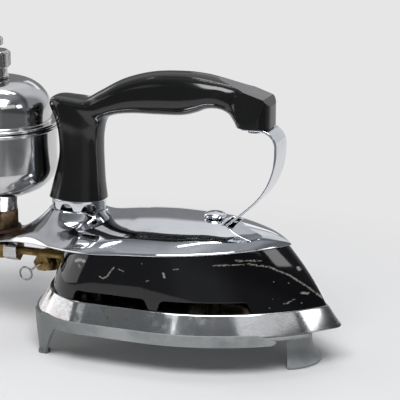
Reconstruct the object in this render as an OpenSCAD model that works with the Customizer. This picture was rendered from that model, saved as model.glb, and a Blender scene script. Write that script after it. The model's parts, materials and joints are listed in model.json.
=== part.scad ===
// Gasoline pressing iron on its trivet.
// Lengths are millimetres. +X points to the tip, +Z is up and the table is z = 0.
// Inside the modules z = 0 is the ironing face and x = 0 is the middle of the sole plate.

/* [Sole plate] */
// Length of the sole plate, measured to the sharp point before the nose is rounded
sole_l = 190; // [184:1:198]
// Width of the sole plate
sole_w = 108; // [102:1:114]
// Thickness of the sole plate
sole_t = 12.3; // [11:0.1:14]
// How far the bevelled side leans in
sole_bevel = 7; // [5:0.5:8]
// Rounding of the nose
nose_r = 6; // [4:0.5:8]
// Radius of the rear edge
rear_r = 72; // [68:1:80]
// Radius of the two rear corners
corner_r = 44; // [40:1:48]

/* [Body shell] */
// Sheet of the enamelled body shell
body_wall = 1.0; // [0.8:0.1:1.4]
// How far the wall of the shell swells at half height
body_swell = 1.4; // [0.8:0.1:1.8]
// Ledge of the sole plate outside the shell
body_ledge = 1; // [0.5:0.5:2.5]
// Height of the air windows along the lower edge
window_h = 6.5; // [4:0.5:8]

/* [Top cover] */
// Width of the cover at its lower edge
cover_w = 88; // [84:1:90]
// Sheet of the cover
cover_t = 1.4; // [1:0.1:1.8]
// Distance from the point of the sole plate back to the tip of the cover
cover_setback = 32.5; // [30:0.5:36]
// Height of the crest above the ironing face
crest_h = 58.2; // [57:0.2:60]
// Fall of the crest from the cap nut to the tip
crest_fall = 8; // [6:0.5:9]
// Height of the lower edge of the cover at its tip
edge_h = 46.5; // [45:0.5:48]
// Drop of the lower edge from the tip to the tongue under the tank
edge_drop = 13.9; // [12:0.1:15]
// Height of the tongue that carries the tank
tongue_h = 36; // [35:0.5:38]
// Half width of the tongue
tongue_r = 16; // [14:0.5:18]
// Height of the neck under the vented collar
neck_h = 56; // [55:0.5:58]

/* [Handle] */
// Place of the handle column along the iron
col_x = -71; // [-74:0.5:-68]
// Height of the vented collar
collar_h = 6.5; // [5.5:0.5:8]
// Length from the column axis to the front face of the handle
handle_l = 121.3; // [118:0.1:124]
// Height from the collar to the crest of the grip
handle_h = 82; // [79:0.5:86]
// Width of the grip
grip_w = 26; // [22:0.5:30]
// Diameter of the handle bolt
bolt_d = 6; // [5:0.5:7]

/* [Front strap] */
// Width of the spring strap
strap_w = 19; // [16:0.5:20]
// Thickness of the spring strap
strap_t = 1.5; // [1.2:0.1:1.8]
// Slope of the lower part of the strap
strap_slope = 42; // [40:1:44]
// Radius of the upper bend of the strap
strap_r = 10; // [8:0.5:11]
// Radius of the long lower bend of the strap
strap_bow_r = 45; // [42:1:46]

/* [Tank] */
// Distance from the column axis back to the tank axis
tank_back = 56.5; // [55:0.5:60]
// Radius of the lower half of the tank
tank_r = 36.4; // [34:0.2:37]
// Radius of the domed upper half of the tank
dome_r = 33.6; // [31:0.2:35]
// Radius of the seam between the halves
seam_r = 38.7; // [37.5:0.1:39.5]
// Height of the seam above the bottom of the tank
seam_up = 44; // [40:0.5:48]
// Height of the dome above the seam
dome_up = 27.5; // [24:0.5:32]
// Sheet of the tank
tank_wall = 1.0; // [0.8:0.1:1.4]
// Radius of the filler cap
filler_r = 9.5; // [8.5:0.1:10.5]

/* [Stand] */
// Height of the ironing face above the table
stand_h = 23.5; // [20:0.5:32]
// Thickness of the stand
stand_t = 1.6; // [1.4:0.1:2]
// Height of the guard rim above the ironing face
rim_up = 2.3; // [1.5:0.1:3]
// Depth of the guard rim below the ironing face
rim_down = 4.5; // [3:0.5:6]

/* [Valve] */
// Radius of the fuel knob
knob_r = 10; // [8:0.5:11]
// Length of the fuel knob
knob_l = 11; // [9:0.5:13]
// Number of lobes on the fuel knob
knob_lobes = 8; // [6:1:12]

/* [Hidden] */
$fn = 64;
// Gap between pieces that are fixed to each other, and radial play of a turning piece
fit = 0.05;
run = 0.06;
// Gap between faces that rest on each other on different bodies
seat = 0.05;
over = 1;

// Sole plate
half_w = sole_w / 2;
tip_x = sole_l / 2;
tail_x = -sole_l / 2 + 1;
wide_x = -12;
sole_edge = 0.8;
boss_r = 5.5;
boss_h = 4;
stud_r = bolt_d / 2;
thread_z = 5;
stud_over = 2.2;
cap_nut_r = 6.6;
cap_nut_rim = 1.4;
cap_nut_h = 3.9;

// Top cover
cover_tip = tip_x - cover_setback;
cover_wide = -20;
shell_back = 3.6;
shell_drop = 0.6;
shell_steps = 4;
cover_half_w = cover_w / 2;
waist_x = -40;
tank_x = col_x - tank_back;
tongue_in = tank_x + 5.5;
edge_power = 1.9;
nose_run = 16;
crest_x = 15;
level_x = crest_x - 25;
crown_power = 1.8;
roll_power = 5;
roll_share = 0.12;
cover_nx = 56;
cover_ny = 24;
neck_fall = 14;
neck_rate = 1.87;
neck_sink = 3.2;
pad_edge = 3;
pad_slope = 1.2;

// Column and collar
bolt_x = col_x + 6;
collar_x = col_x - 2.5;
collar_ax = 17.4;
collar_ay = 13.3;
collar_wall = 2.4;
collar_top = neck_h + collar_h;
arch_r = 4.2;
arches = 6;

// Handle: each row is a section with the inner point, the outer point, the share of the
// grip width and the squareness. Rows run from the foot of the column past the front face,
// and flat cuts then shape the front block.
handle_rows = [
  [15.4, 0, -20.5, 0, 1.02, 2.4],
  [15.1, 3.5, -19.4, 3.5, 0.97, 2.4],
  [14.4, 10.5, -17.4, 10.5, 0.91, 2.4],
  [14.0, 19.5, -14.8, 19.5, 0.87, 2.4],
  [13.7, 28.5, -13.2, 29, 0.86, 2.4],
  [13.9, 37.5, -14.0, 41, 0.88, 2.4],
  [14.7, 43.5, -16.4, 50, 0.92, 2.5],
  [15.6, 46.5, -19.0, 57.5, 0.92, 2.6],
  [16.9, 48.9, -15, 61.4, 0.92, 2.6],
  [18.9, 50.6, -5, 61.3, 0.94, 2.5],
  [22.4, 52.1, 4.5, 61.2, 0.95, 2.4],
  [27.5, 53.4, 14, 66.2, 0.97, 2.3],
  [37, 54.3, 29, 74.2, 0.98, 2.2],
  [51, 54.7, 47, 79.3, 1, 2.2],
  [66, 55.5, 66, 80.9, 1, 2.2],
  [75, 57.8, 79, 80.4, 0.98, 2.2],
  [82, 60.6, 89, 78.8, 0.95, 2.2],
  [89.5, 60.9, 97, 77.3, 0.93, 2.2],
  [95.5, 58.6, 104, 76.4, 0.95, 2.2],
  [99.8, 54.2, 109.5, 76, 1.01, 2.3],
  [103, 50.4, 114, 76, 1.07, 2.5],
  [111, 48, 119, 76, 1.13, 2.8],
  [124, 48, 125, 76, 1.16, 3.2]
];
row_l = 121.3;
row_h = max([for (r = handle_rows) r[3]]);
block_v = 52.8;
ramp_u = 89;
ramp_v = 78.7;
ramp_fall = 0.31;
brow = 3.2;
block_round = 9;
cheek_share = 0.9;
cheek_lean = 0.034;
row_steps = 3;
ring_n = 24;
block_share = block_v / row_h;
crown_share = handle_rows[9][3] / row_h;
bore_v = 42.5;
bore_r = 5.8;
head_r = 5.2;
head_h = 3.8;
washer_t = 1.2;
plug_cover = 1.2;
plug_h = 9.5;

// Front strap
block_z = collar_top + block_share * handle_h;
block_x = col_x + handle_l;
strap_top = block_z - strap_t / 2 - fit;
strap_lap = 16.3;
strap_start = block_x - strap_lap;
strap_swell = 4.5;
strap_out = block_x + strap_swell;
bow = 90 - strap_slope;
bow_reach = strap_bow_r * (1 - cos(bow));
// The strap enters the cover a slot's distance from the stud, or further where the handle sits low
slot_reach = 12.4;
upright = 0.5;
strap_room = strap_top - strap_r - crest_h - strap_bow_r * sin(bow) - upright;
strap_need = (strap_out - bow_reach - crest_x - slot_reach) * tan(strap_slope);
slot_x = crest_x + slot_reach + max(strap_need - strap_room, 0) / tan(strap_slope);
slot_back = 4.8;
slot_front = 1.8;
slot_gap = 0.3;
strap_run = (strap_out - bow_reach - slot_x) / cos(strap_slope);
strap_fall = strap_run * sin(strap_slope);
bow_z = crest_h + strap_fall + strap_bow_r * sin(bow);
tab_r = 4;
tab_gap = 0.7;
tab_z = cover_crest(slot_x - slot_back) - cover_t - strap_t / 2 - tab_gap;
tab_tail = 7;
tab_end = crest_x - tab_tail;
tab_drop = tab_r * (1 - cos(strap_slope));
tab_bend_z = tab_z + tab_drop;
tab_bend_x = slot_x - (crest_h - tab_bend_z) / tan(strap_slope);
screw_x = strap_start + 5;
screw_r = 2;
screw_head_r = 4;

// Fuel line and burner
tube_r = 2.5;
tube_bore = 1.5;
tube_y = 10.5;
tube_z = 27;
bend_x = 24;
elbow_r = 5;
jet_x = -99;
jet_z = 17;
jet_r = 5.2;
jet_shank_r = 1.6;
elbow_x = jet_x + elbow_r;
jet_top = tube_z - elbow_r;
mix_r = 4.2;
mix_bore = 3.4;
mix_z = 17;
mix_in = -44;
mix_out = -89;
mouth_r = 6.5;
burner_x0 = -48;
burner_x1 = 2;
burner_half = 21;
burner_h = 11.5;
burner_round = 6;
port_r = 1.3;
ports = 8;
baffle_z = 35;
baffle_t = 0.8;
gland_r = 5.6;
gland_l = 4;
wire_r = 0.65;
wire_y = -3.3;
loop_r = 4;
loop_reach = 9.1;
loop_fall = 36;

// Valve
valve_z = tube_z - 1.5;
valve_r = 5;
valve_end = tank_x - 18;
valve_boss_r = 9;
boss_low = valve_z - 6;
manifold_h = 8;
manifold_edge = 4.5;
boss_top = tongue_h - cover_t - 0.9;
outlet_x = tank_x + 9.5;
outlet_l = 9;
outlet_nut_r = 6.8;
valve_stem_r = 2;
packing_l = 6;
packing_r = 7.2;
knob_x = valve_end - packing_l - 3;
knob_end = knob_x - knob_l;
knob_head_h = 1.6;
knob_head_r = 3.2;
x_rear = knob_end - knob_head_h;

// Tank
stem_washer_t = 2;
stem_nut_h = 11.5;
tank_nut_h = 10.5;
tank_z = tongue_h + stem_washer_t + stem_nut_h + tank_nut_h;
seam_z = tank_z + seam_up;
bead = 2.4;
dome_z = seam_z + dome_up;
flat_r = 12;
shoulder_z = seam_z + bead + 6;
belly_z = tank_z + 19;
tank_stem_r = 5;
tank_stem_bore = 2.6;
stem_washer_r = 13;
stem_nut_r = 12.5;
tank_nut_r = 12;
neck_r = 7.4;
neck_thread_r = 6.9;
neck_bore = 5;
neck_foot_r = 8.4;
neck_foot_h = 2;
cap_z = dome_z + 7.2;
cap_l = 10;
cap_roof = 2.4;
seal_t = 1.2;
screw_knob_r = 5.2;
screw_knob_h = 5;
screw_stem_r = 2;

// Stand
rim_gap = 0.5;
ledge_w = 15;
opening_tip = tip_x - 52;
stand_tip = tip_x - 12;
rim_end = tip_x - 30.5;
rim_start = tail_x + 14;
leg_turn = 132;
rim_round = 1.6;
rim_slant = 10;
rear_leg_top = 34;
rear_leg_foot = 9;
leg_deep = 9;
toe_r = 3.6;
toe_h = 2;
front_leg_r = 14.4;
front_leg_x = tip_x - 35.6;
front_leg_turn = 68;
front_leg_flare = 7;
flare_h = 10;

function arc(c, r, a0, a1, n, first = 0) =
  [for (i = [first : n]) let (a = a0 + (a1 - a0) * i / n) [c[0] + r * cos(a), c[1] + r * sin(a)]];

// Half of an iron shaped outline from the tip to the rear, moved inward by d
function half_outline(tip, half, wide, rear, rr, cr, nr, d) =
  let (
    side_r = ((tip - wide) * (tip - wide) + half * half) / (2 * half),
    drop = side_r - half,
    sr = side_r - d,
    n_r = max(nr - d / 2, 1),
    nose_x = wide + sqrt((sr - n_r) * (sr - n_r) - drop * drop),
    nose_a = atan2(drop, nose_x - wide),
    yc = half - cr,
    rx = rear + rr,
    dx = sqrt((rr - cr) * (rr - cr) - yc * yc),
    corner_a = 180 - atan2(yc, dx)
  )
  concat(
    arc([nose_x, 0], n_r, 0, nose_a, 5),
    arc([wide, -drop], sr, nose_a, 90, 16, 1),
    arc([rx - dx, yc], cr - d, 90, corner_a, 12),
    arc([rx, 0], rr - d, corner_a, 180, 6, 1)
  );

function mirror_outline(h) =
  concat(h, [for (i = [len(h) - 2 : -1 : 1]) [h[i][0], -h[i][1]]]);

function sole_outline(d) =
  mirror_outline(half_outline(tip_x, half_w, wide_x, tail_x, rear_r, corner_r, nose_r, d));

function body_low(d) =
  mirror_outline(half_outline(tip_x, half_w, wide_x, tail_x + 1, rear_r, corner_r, nose_r,
    sole_bevel + body_ledge + d));

function body_high(d) =
  mirror_outline(half_outline(cover_tip - 0.5, cover_half_w - 1.5, cover_wide, col_x - shell_back,
    cover_half_w + 14, cover_half_w - 12, nose_r, d));

// Outline of the shell at the share s of its height, where the wall swells outward
function body_level(d, s) =
  let (
    e = d - body_swell * sin(180 * s),
    low = body_low(e),
    high = body_high(e)
  )
  [for (i = [0 : len(low) - 1])
    let (p = low[i] + (high[i] - low[i]) * s)
    [p[0], p[1], (sole_t + fit) * (1 - s) + (cover_edge(high[i][0]) - shell_drop) * s]];

// The nose of the finished sole plate
x_front = sole_outline(0)[0][0];
x_mid = (x_front + x_rear) / 2;

function clamp(v, lo, hi) = min(max(v, lo), hi);

function dome(u) = pow(max(1 - pow(abs(u), 2.2), 0), 0.6);

// Section of the cover: a gentle crown that ends in a rolled edge
function crown(u) =
  (1 - (1 - roll_share) * pow(abs(u), crown_power)) * sqrt(max(1 - pow(abs(u), roll_power), 0));

// Half width of the cover at x
function cover_half(x) =
  let (side_r = (pow(cover_tip - cover_wide, 2) + cover_half_w * cover_half_w) / (2 * cover_half_w))
  x > cover_wide
    ? sqrt(max(side_r * side_r - pow(x - cover_wide, 2), 0)) - side_r + cover_half_w
    : x > waist_x
      ? cover_half_w
      : x > tongue_in
        ? tongue_r + (cover_half_w - tongue_r) * (1 + cos(180 * (waist_x - x) / (waist_x - tongue_in))) / 2
        : x > tank_x
          ? tongue_r
          : sqrt(max(tongue_r * tongue_r - pow(x - tank_x, 2), 0));

// Height of the lower edge of the cover at x
function cover_edge(x) =
  let (t = (cover_tip - max(x, tongue_in)) / (cover_tip - tongue_in))
  edge_h - edge_drop * pow(max(t, 0), edge_power);

// Height of the crest line at x without the neck
function cover_crest(x) =
  tongue_h + (crest_h - tongue_h) * sin(90 * clamp((x - tongue_in) / (level_x - tongue_in), 0, 1))
    - crest_fall * pow(max((x - crest_x) / (cover_tip - crest_x), 0), 1.5);

function cover_end(x) =
  x < tank_x
    ? dome((tank_x - x) / tongue_r)
    : x > cover_tip - nose_run
      ? sqrt(max(1 - pow((x - cover_tip + nose_run) / nose_run, 2), 0))
      : 1;

function cover_neck(x, y) =
  let (s = max(norm([(x - collar_x) / collar_ax, y / collar_ay]) - 1, 0))
  neck_h - neck_fall * (1 - exp(-neck_rate * s)) - neck_sink * s * s;

// Flat pad under the tank washer, with a slope that rises from its edge
function cover_pad(x, y) =
  tongue_h + pad_slope * max(norm([x - tank_x, y]) - stem_washer_r - pad_edge, 0);

// Upper face of the cover at x and at the share u of the half width
function cover_z(x, u) =
  let (
    low = cover_edge(x),
    plain = low + (cover_crest(x) - low) * crown(u) * cover_end(x),
    y = u * cover_half(x),
    bell = cover_neck(x, y),
    both = (plain + bell + sqrt(pow(plain - bell, 2) + 4)) / 2 - 0.5 * exp(-abs(plain - bell)),
    raised = min(both, max(neck_h, plain))
  )
  min(plain + (raised - plain) * (1 - pow(abs(u), 4)) * (x > crest_x ? 0 : 1), cover_pad(x, y));

function cover_x(i) =
  let (s = i / cover_nx, a = tank_x - tongue_r + 0.05, b = cover_tip - 0.05)
  a + (b - a) * (s / 2 + (1 - cos(180 * s)) / 4);

function cover_u(j) = let (v = 2 * j / cover_ny - 1) 0.55 * v + 0.45 * sin(90 * v);

// Smooth curve through rows of numbers
function mix(p0, p1, p2, p3, t) =
  0.5 * (2 * p1 + (p2 - p0) * t + (2 * p0 - 5 * p1 + 4 * p2 - p3) * t * t
    + (3 * p1 - p0 - 3 * p2 + p3) * t * t * t);

function smooth(rows, steps) =
  let (n = len(rows) - 1)
  concat(
    [for (i = [0 : n - 1], k = [0 : steps - 1])
      mix(rows[max(i - 1, 0)], rows[i], rows[i + 1], rows[min(i + 2, n)], k / steps)],
    [rows[n]]
  );

function power(v, e) = sign(v) * pow(abs(v), e);

// One section of the handle
function handle_ring(row) =
  let (
    kx = handle_l / row_l,
    kz = handle_h / row_h,
    p = [col_x + row[0] * kx, collar_top + row[1] * kz],
    q = [col_x + row[2] * kx, collar_top + row[3] * kz],
    c = (p + q) / 2,
    a = (q - p) / 2,
    w = row[4] * grip_w / 2,
    e = 2 / row[5]
  )
  [for (k = [0 : ring_n - 1])
    let (t = -360 * (k + 0.5) / ring_n, f = power(cos(t), e))
    [c[0] + a[0] * f, w * power(sin(t), e), c[1] + a[1] * f]];

function oval(ax, ay, n) = [for (k = [0 : n - 1]) let (t = 360 * k / n) [ax * cos(t), ay * sin(t)]];

function lift(outline, z) = [for (p = outline) [p[0], p[1], z]];

module placed() {
  translate([-x_mid, 0, stand_h])
    children();
}

// Solid through rings of the same number of points, open at the ends or closed into a loop
module loft(rings, loop = false) {
  n = len(rings[0]);
  m = len(rings);
  last = loop ? m - 1 : m - 2;
  points = [for (r = rings) each r];
  sides = [
    for (i = [0 : last], j = [0 : n - 1])
      let (
        k = (i + 1) % m,
        a = i * n + j,
        b = i * n + (j + 1) % n,
        c = k * n + (j + 1) % n,
        d = k * n + j
      )
      each [[a, d, c], [a, c, b]]
  ];
  caps = loop ? [] : [
    [for (j = [0 : n - 1]) j],
    [for (j = [n - 1 : -1 : 0]) (m - 1) * n + j]
  ];
  polyhedron(points, concat(sides, caps), convexity = 8);
}

module rod_x(x0, x1, y, z, r) {
  translate([min(x0, x1), y, z])
    rotate([0, 90, 0])
      cylinder(h = abs(x1 - x0), r = r);
}

module rod_z(x, y, z0, z1, r) {
  translate([x, y, z0])
    cylinder(h = z1 - z0, r = r);
}

module hex_z(x, z0, z1, r, hole) {
  difference() {
    intersection() {
      translate([x, 0, z0])
        cylinder(h = z1 - z0, r = r, $fn = 6);
      translate([x, 0, z0])
        rotate_extrude()
          polygon([[0, 0], [r * 0.92, 0], [r, r * 0.06], [r, z1 - z0 - r * 0.06], [r * 0.92, z1 - z0], [0, z1 - z0]]);
    }
    rod_z(x, 0, z0 - over, z1 + over, hole);
  }
}

module hex_x(x0, x1, y, z, r, hole) {
  difference() {
    translate([x0, y, z])
      rotate([0, 90, 0])
        cylinder(h = x1 - x0, r = r, $fn = 6);
    rod_x(x0 - over, x1 + over, y, z, hole);
  }
}

module tube_line(r) {
  rod_x(outlet_x, bend_x, -tube_y, tube_z, r);
  translate([bend_x, 0, tube_z])
    rotate([0, 0, -90])
      rotate_extrude(angle = 180)
        translate([tube_y, 0])
          circle(r = r);
  rod_x(elbow_x, bend_x, tube_y, tube_z, r);
  translate([elbow_x, tube_y, jet_top])
    rotate([90, 0, 0])
      rotate([0, 0, 90])
        rotate_extrude(angle = 90)
          translate([elbow_r, 0])
            circle(r = r);
}

// Wall that follows the edge of the sole plate
module rim_wall(z0, z1) {
  translate([0, 0, z0])
    linear_extrude(z1 - z0)
      difference() {
        polygon(sole_outline(-rim_gap - stand_t));
        polygon(sole_outline(-rim_gap));
      }
}

module stand_ledge() {
  translate([0, 0, -seat - stand_t])
    linear_extrude(stand_t)
      intersection() {
        difference() {
          polygon(sole_outline(-rim_gap - stand_t / 2));
          intersection() {
            polygon(sole_outline(ledge_w));
            translate([tail_x, -half_w])
              square([opening_tip - tail_x, sole_w]);
          }
        }
        translate([tail_x - 2 * stand_t, -sole_w])
          square([stand_tip - tail_x, 2 * sole_w]);
      }
}

// Side view of the guard rim
module rim_prism() {
  rotate([90, 0, 0])
    linear_extrude(2 * sole_w, center = true)
      polygon(concat(
        [[rim_start + rim_up, rim_up], [rim_start, 0], [rim_start, -rim_down]],
        arc([rim_end - rim_round, rim_round - rim_down], rim_round, -90, 30, 6),
        [[rim_end - rim_slant, rim_up]]
      ));
}

// Frame of the left rear leg, with x pointing out from the corner
module at_rear_leg() {
  yc = half_w - corner_r;
  dx = sqrt((rear_r - corner_r) * (rear_r - corner_r) - yc * yc);
  translate([tail_x + rear_r - dx, yc, 0])
    rotate([0, 0, leg_turn])
      translate([corner_r + rim_gap, 0, 0])
        children();
}

module leg_prism() {
  at_rear_leg()
    translate([-leg_deep, 0, 0])
      rotate([90, 0, 90])
        linear_extrude(2 * leg_deep)
          polygon([
            [-rear_leg_top / 2, -seat - stand_t / 2],
            [-rear_leg_foot / 2, -stand_h],
            [rear_leg_foot / 2, -stand_h],
            [rear_leg_top / 2, -seat - stand_t / 2]
          ]);
}

module stand_wall() {
  intersection() {
    rim_wall(-stand_h, rim_up);
    union() {
      rim_prism();
      leg_prism();
      mirror([0, 1, 0])
        leg_prism();
    }
  }
}

module rear_toe() {
  at_rear_leg()
    translate([0, 0, -stand_h])
      cylinder(h = toe_h, r = toe_r);
}

module front_leg() {
  translate([front_leg_x, 0, 0])
    rotate([0, 0, -front_leg_turn])
      rotate_extrude(angle = 2 * front_leg_turn)
        polygon([
          [front_leg_r, -seat - stand_t / 2],
          [front_leg_r, flare_h - stand_h],
          [front_leg_r + front_leg_flare - stand_t, -stand_h],
          [front_leg_r + front_leg_flare + stand_t, -stand_h],
          [front_leg_r + front_leg_flare, stand_t - stand_h],
          [front_leg_r + stand_t, flare_h - stand_h],
          [front_leg_r + stand_t, -seat - stand_t / 2]
        ]);
}

module stand() {
  color("gray")
    placed()
      union() {
        stand_ledge();
        stand_wall();
        rear_toe();
        mirror([0, 1, 0])
          rear_toe();
        front_leg();
      }
}

module sole_plate() {
  color("silver")
    placed()
      difference() {
        union() {
          loft([
            lift(sole_outline(sole_edge), 0),
            lift(sole_outline(0), sole_edge),
            lift(sole_outline(sole_bevel), sole_t - 0.3),
            lift(sole_outline(sole_bevel + 0.5), sole_t)
          ]);
          rod_z(bolt_x, 0, sole_t - 2, sole_t + boss_h, boss_r);
          rod_z(crest_x, 0, sole_t - 2, sole_t + boss_h, boss_r);
        }
        rod_z(bolt_x, 0, thread_z - fit, sole_t + boss_h + over, stud_r + fit);
        rod_z(crest_x, 0, thread_z - fit, sole_t + boss_h + over, stud_r + fit);
      }
}

module window_cut(x0, x1) {
  r = min(4, window_h - 1);
  rotate([90, 0, 0])
    linear_extrude(2 * sole_w, center = true)
      polygon(concat(
        [[x1 + 1.5, sole_t - over]],
        arc([x1 - r, sole_t + window_h - r], r, 0, 90, 5),
        arc([x0 + r, sole_t + window_h - r], r, 90, 180, 5),
        [[x0 - 1.5, sole_t - over]]
      ));
}

module body_shell() {
  color("black")
    placed()
      difference() {
        loft(concat(
          [for (k = [0 : shell_steps]) body_level(0, k / shell_steps)],
          [for (k = [shell_steps : -1 : 0]) body_level(body_wall, k / shell_steps)]
        ), loop = true);
        window_cut(wide_x - 45, wide_x + 2);
        window_cut(wide_x + 9, wide_x + 60);
        rod_x(tail_x - 20, col_x + 12, -tube_y, tube_z, tube_r + 0.8);
        rod_x(tail_x - 20, col_x + 12, tube_y, tube_z, tube_r + 0.8);
        rod_x(tail_x - 20, col_x + 12, tube_y, mix_z, mix_r + 0.3);
      }
}

module spacers() {
  color("dimgray")
    placed()
      for (x = [bolt_x, crest_x])
        difference() {
          rod_z(x, 0, sole_t + boss_h + fit, baffle_z - fit, stud_r + 1.5);
          rod_z(x, 0, sole_t, baffle_z + over, stud_r + fit);
        }
}

module heat_baffle() {
  color("slategray")
    placed()
      translate([0, 0, baffle_z])
        linear_extrude(baffle_t)
          difference() {
            polygon(body_high(body_wall + 0.3));
            translate([bolt_x, 0])
              circle(r = stud_r + fit);
            translate([crest_x, 0])
              circle(r = stud_r + fit);
          }
}

module cover_sheet() {
  nx = cover_nx + 1;
  ny = cover_ny + 1;
  count = nx * ny;
  points = [
    for (k = [0, 1], i = [0 : cover_nx], j = [0 : cover_ny])
      let (x = cover_x(i), u = cover_u(j))
      [x, u * cover_half(x), cover_z(x, u) - k * cover_t]
  ];
  upper = [
    for (i = [0 : cover_nx - 1], j = [0 : cover_ny - 1])
      let (a = i * ny + j, b = a + ny)
      each [[a, a + 1, b + 1], [a, b + 1, b]]
  ];
  lower = [for (f = upper) [f[0] + count, f[2] + count, f[1] + count]];
  ends = [
    for (j = [0 : cover_ny - 1], i = [0, cover_nx])
      let (a = i * ny + j, b = a + 1)
      each (i == 0
        ? [[a, a + count, b + count], [a, b + count, b]]
        : [[a, b + count, a + count], [a, b, b + count]])
  ];
  sides = [
    for (i = [0 : cover_nx - 1], j = [0, cover_ny])
      let (a = i * ny + j, b = a + ny)
      each (j == 0
        ? [[a, b + count, a + count], [a, b, b + count]]
        : [[a, a + count, b + count], [a, b + count, b]])
  ];
  polyhedron(points, concat(upper, lower, ends, sides), convexity = 6);
}

module top_cover() {
  color("gainsboro")
    placed()
      difference() {
        cover_sheet();
        rod_z(bolt_x, 0, neck_h - 10, neck_h + over, stud_r + 0.3);
        rod_z(crest_x, 0, crest_h - 6, crest_h + 2, stud_r + 0.3);
        rod_z(tank_x, 0, tongue_h - 6, tongue_h + 2, tank_stem_r + 0.2);
        translate([slot_x - slot_back, -strap_w / 2 - slot_gap, crest_h - crest_fall])
          cube([slot_back + slot_front, strap_w + 2 * slot_gap, 2 * crest_fall]);
      }
}

module handle_collar() {
  color("gainsboro")
    placed()
      translate([collar_x, 0, neck_h + 0.15])
        difference() {
          linear_extrude(collar_h - 0.2)
            difference() {
              polygon(oval(collar_ax, collar_ay, 72));
              polygon(oval(collar_ax - collar_wall, collar_ay - collar_wall, 72));
            }
          for (k = [0 : arches - 1])
            rotate([0, 0, 360 * (k + 0.5) / arches])
              translate([5, 0, -0.2])
                rotate([0, 90, 0])
                  cylinder(h = 20, r = arch_r);
        }
}

// Side view and plan of the flat cuts that shape the front block of the handle
module handle_cuts() {
  kx = handle_l / row_l;
  kz = handle_h / row_h;
  mid_u = row_l / 2;
  rear_u = -row_l / 2;
  cheek = cheek_share * grip_w / 2;
  side = [
    [rear_u, -over],
    [mid_u, -over],
    [mid_u, block_v],
    [row_l, block_v],
    [row_l, ramp_v - ramp_fall * (row_l - ramp_u) - brow],
    [row_l - brow, ramp_v - ramp_fall * (row_l - brow - ramp_u)],
    [mid_u, ramp_v + ramp_fall * (ramp_u - mid_u)],
    [rear_u, ramp_v + ramp_fall * (ramp_u - rear_u)]
  ];
  corner = [row_l - block_round, cheek + cheek_lean * block_round - block_round];
  plan = concat(
    arc(corner, block_round, 0, 90, 8),
    [[rear_u, cheek + cheek_lean * (row_l - rear_u)]]
  );
  intersection() {
    translate([col_x, 0, collar_top])
      rotate([90, 0, 0])
        linear_extrude(2 * grip_w, center = true)
          polygon([for (p = side) [p[0] * kx, p[1] * kz]]);
    translate([col_x, 0, collar_top - over])
      linear_extrude(2 * handle_h)
        polygon(concat(
          [for (p = plan) [p[0] * kx, p[1]]],
          [for (i = [len(plan) - 1 : -1 : 0]) [plan[i][0] * kx, -plan[i][1]]]
        ));
  }
}

module handle() {
  color("black")
    placed()
      difference() {
        intersection() {
          loft([for (r = smooth(handle_rows, row_steps)) handle_ring(r)]);
          handle_cuts();
        }
        rod_z(bolt_x, 0, collar_top - over, collar_top + bore_v + over, stud_r + fit);
        rod_z(bolt_x, 0, collar_top + bore_v, collar_top + handle_h, bore_r);
        rod_z(screw_x, 0, block_z - over, block_z + 12.5, screw_r + fit);
      }
}

module handle_bolt() {
  seat_z = collar_top + bore_v + washer_t + 2 * fit;
  color("silver")
    placed()
      difference() {
        union() {
          rod_z(bolt_x, 0, thread_z, seat_z + fit, stud_r);
          rod_z(bolt_x, 0, seat_z, seat_z + head_h, head_r);
        }
        translate([bolt_x - head_r - over, -0.6, seat_z + head_h - 1.5])
          cube([2 * head_r + 2 * over, 1.2, 3]);
      }
}

module bolt_washer() {
  color("silver")
    placed()
      difference() {
        rod_z(bolt_x, 0, collar_top + bore_v + fit, collar_top + bore_v + fit + washer_t, bore_r - 0.2);
        rod_z(bolt_x, 0, collar_top + bore_v - over, collar_top + bore_v + 2 * over + washer_t, stud_r + fit);
      }
}

module handle_plug() {
  top = collar_top + crown_share * handle_h - plug_cover;
  color("black")
    placed()
      rod_z(bolt_x, 0, top - plug_h, top, bore_r - fit);
}

// Centre line of the strap with the direction of its outer side
function strap_path() =
  concat(
    [[strap_start, strap_top, 90]],
    [for (a = [90 : -10 : 0])
      [strap_out - strap_r + strap_r * cos(a), strap_top - strap_r + strap_r * sin(a), a]],
    [for (k = [0 : 12]) let (a = -bow * k / 12)
      [strap_out - strap_bow_r + strap_bow_r * cos(a), bow_z + strap_bow_r * sin(a), a]],
    [for (k = [0 : 4]) let (a = -bow - strap_slope * k / 4)
      [tab_bend_x - tab_r * cos(bow) + tab_r * cos(a), tab_bend_z + tab_r * sin(bow) + tab_r * sin(a), a]],
    [[tab_end, tab_z, -90]]
  );

module front_strap() {
  path = strap_path();
  n = len(path) - 1;
  outer = [for (p = path) [p[0] + strap_t / 2 * cos(p[2]), p[1] + strap_t / 2 * sin(p[2])]];
  inner = [for (p = path) [p[0] - strap_t / 2 * cos(p[2]), p[1] - strap_t / 2 * sin(p[2])]];
  color("gainsboro")
    placed()
      difference() {
        rotate([90, 0, 0])
          linear_extrude(strap_w, center = true)
            polygon(concat(outer, [for (i = [n : -1 : 0]) inner[i]]));
        rod_z(crest_x, 0, tab_z - 3, tab_z + 3, stud_r + fit);
        rod_z(screw_x, 0, strap_top - 3, strap_top + 3, screw_r + fit);
      }
}

module strap_screw() {
  seat_z = strap_top - strap_t / 2 - fit;
  color("silver")
    placed()
      difference() {
        union() {
          rod_z(screw_x, 0, seat_z - fit, block_z + 12, screw_r);
          rod_z(screw_x, 0, seat_z - 2.4, seat_z, screw_head_r);
        }
        translate([screw_x - 6, -0.5, seat_z - 4])
          cube([12, 1, 2.6]);
      }
}

module front_stud() {
  color("silver")
    placed()
      rod_z(crest_x, 0, thread_z, crest_h + stud_over, stud_r);
}

module stud_nut() {
  z1 = tab_z - strap_t / 2 - fit;
  color("silver")
    placed()
      hex_z(crest_x, z1 - 5, z1, stud_r + 2.6, stud_r + fit);
}

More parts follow.
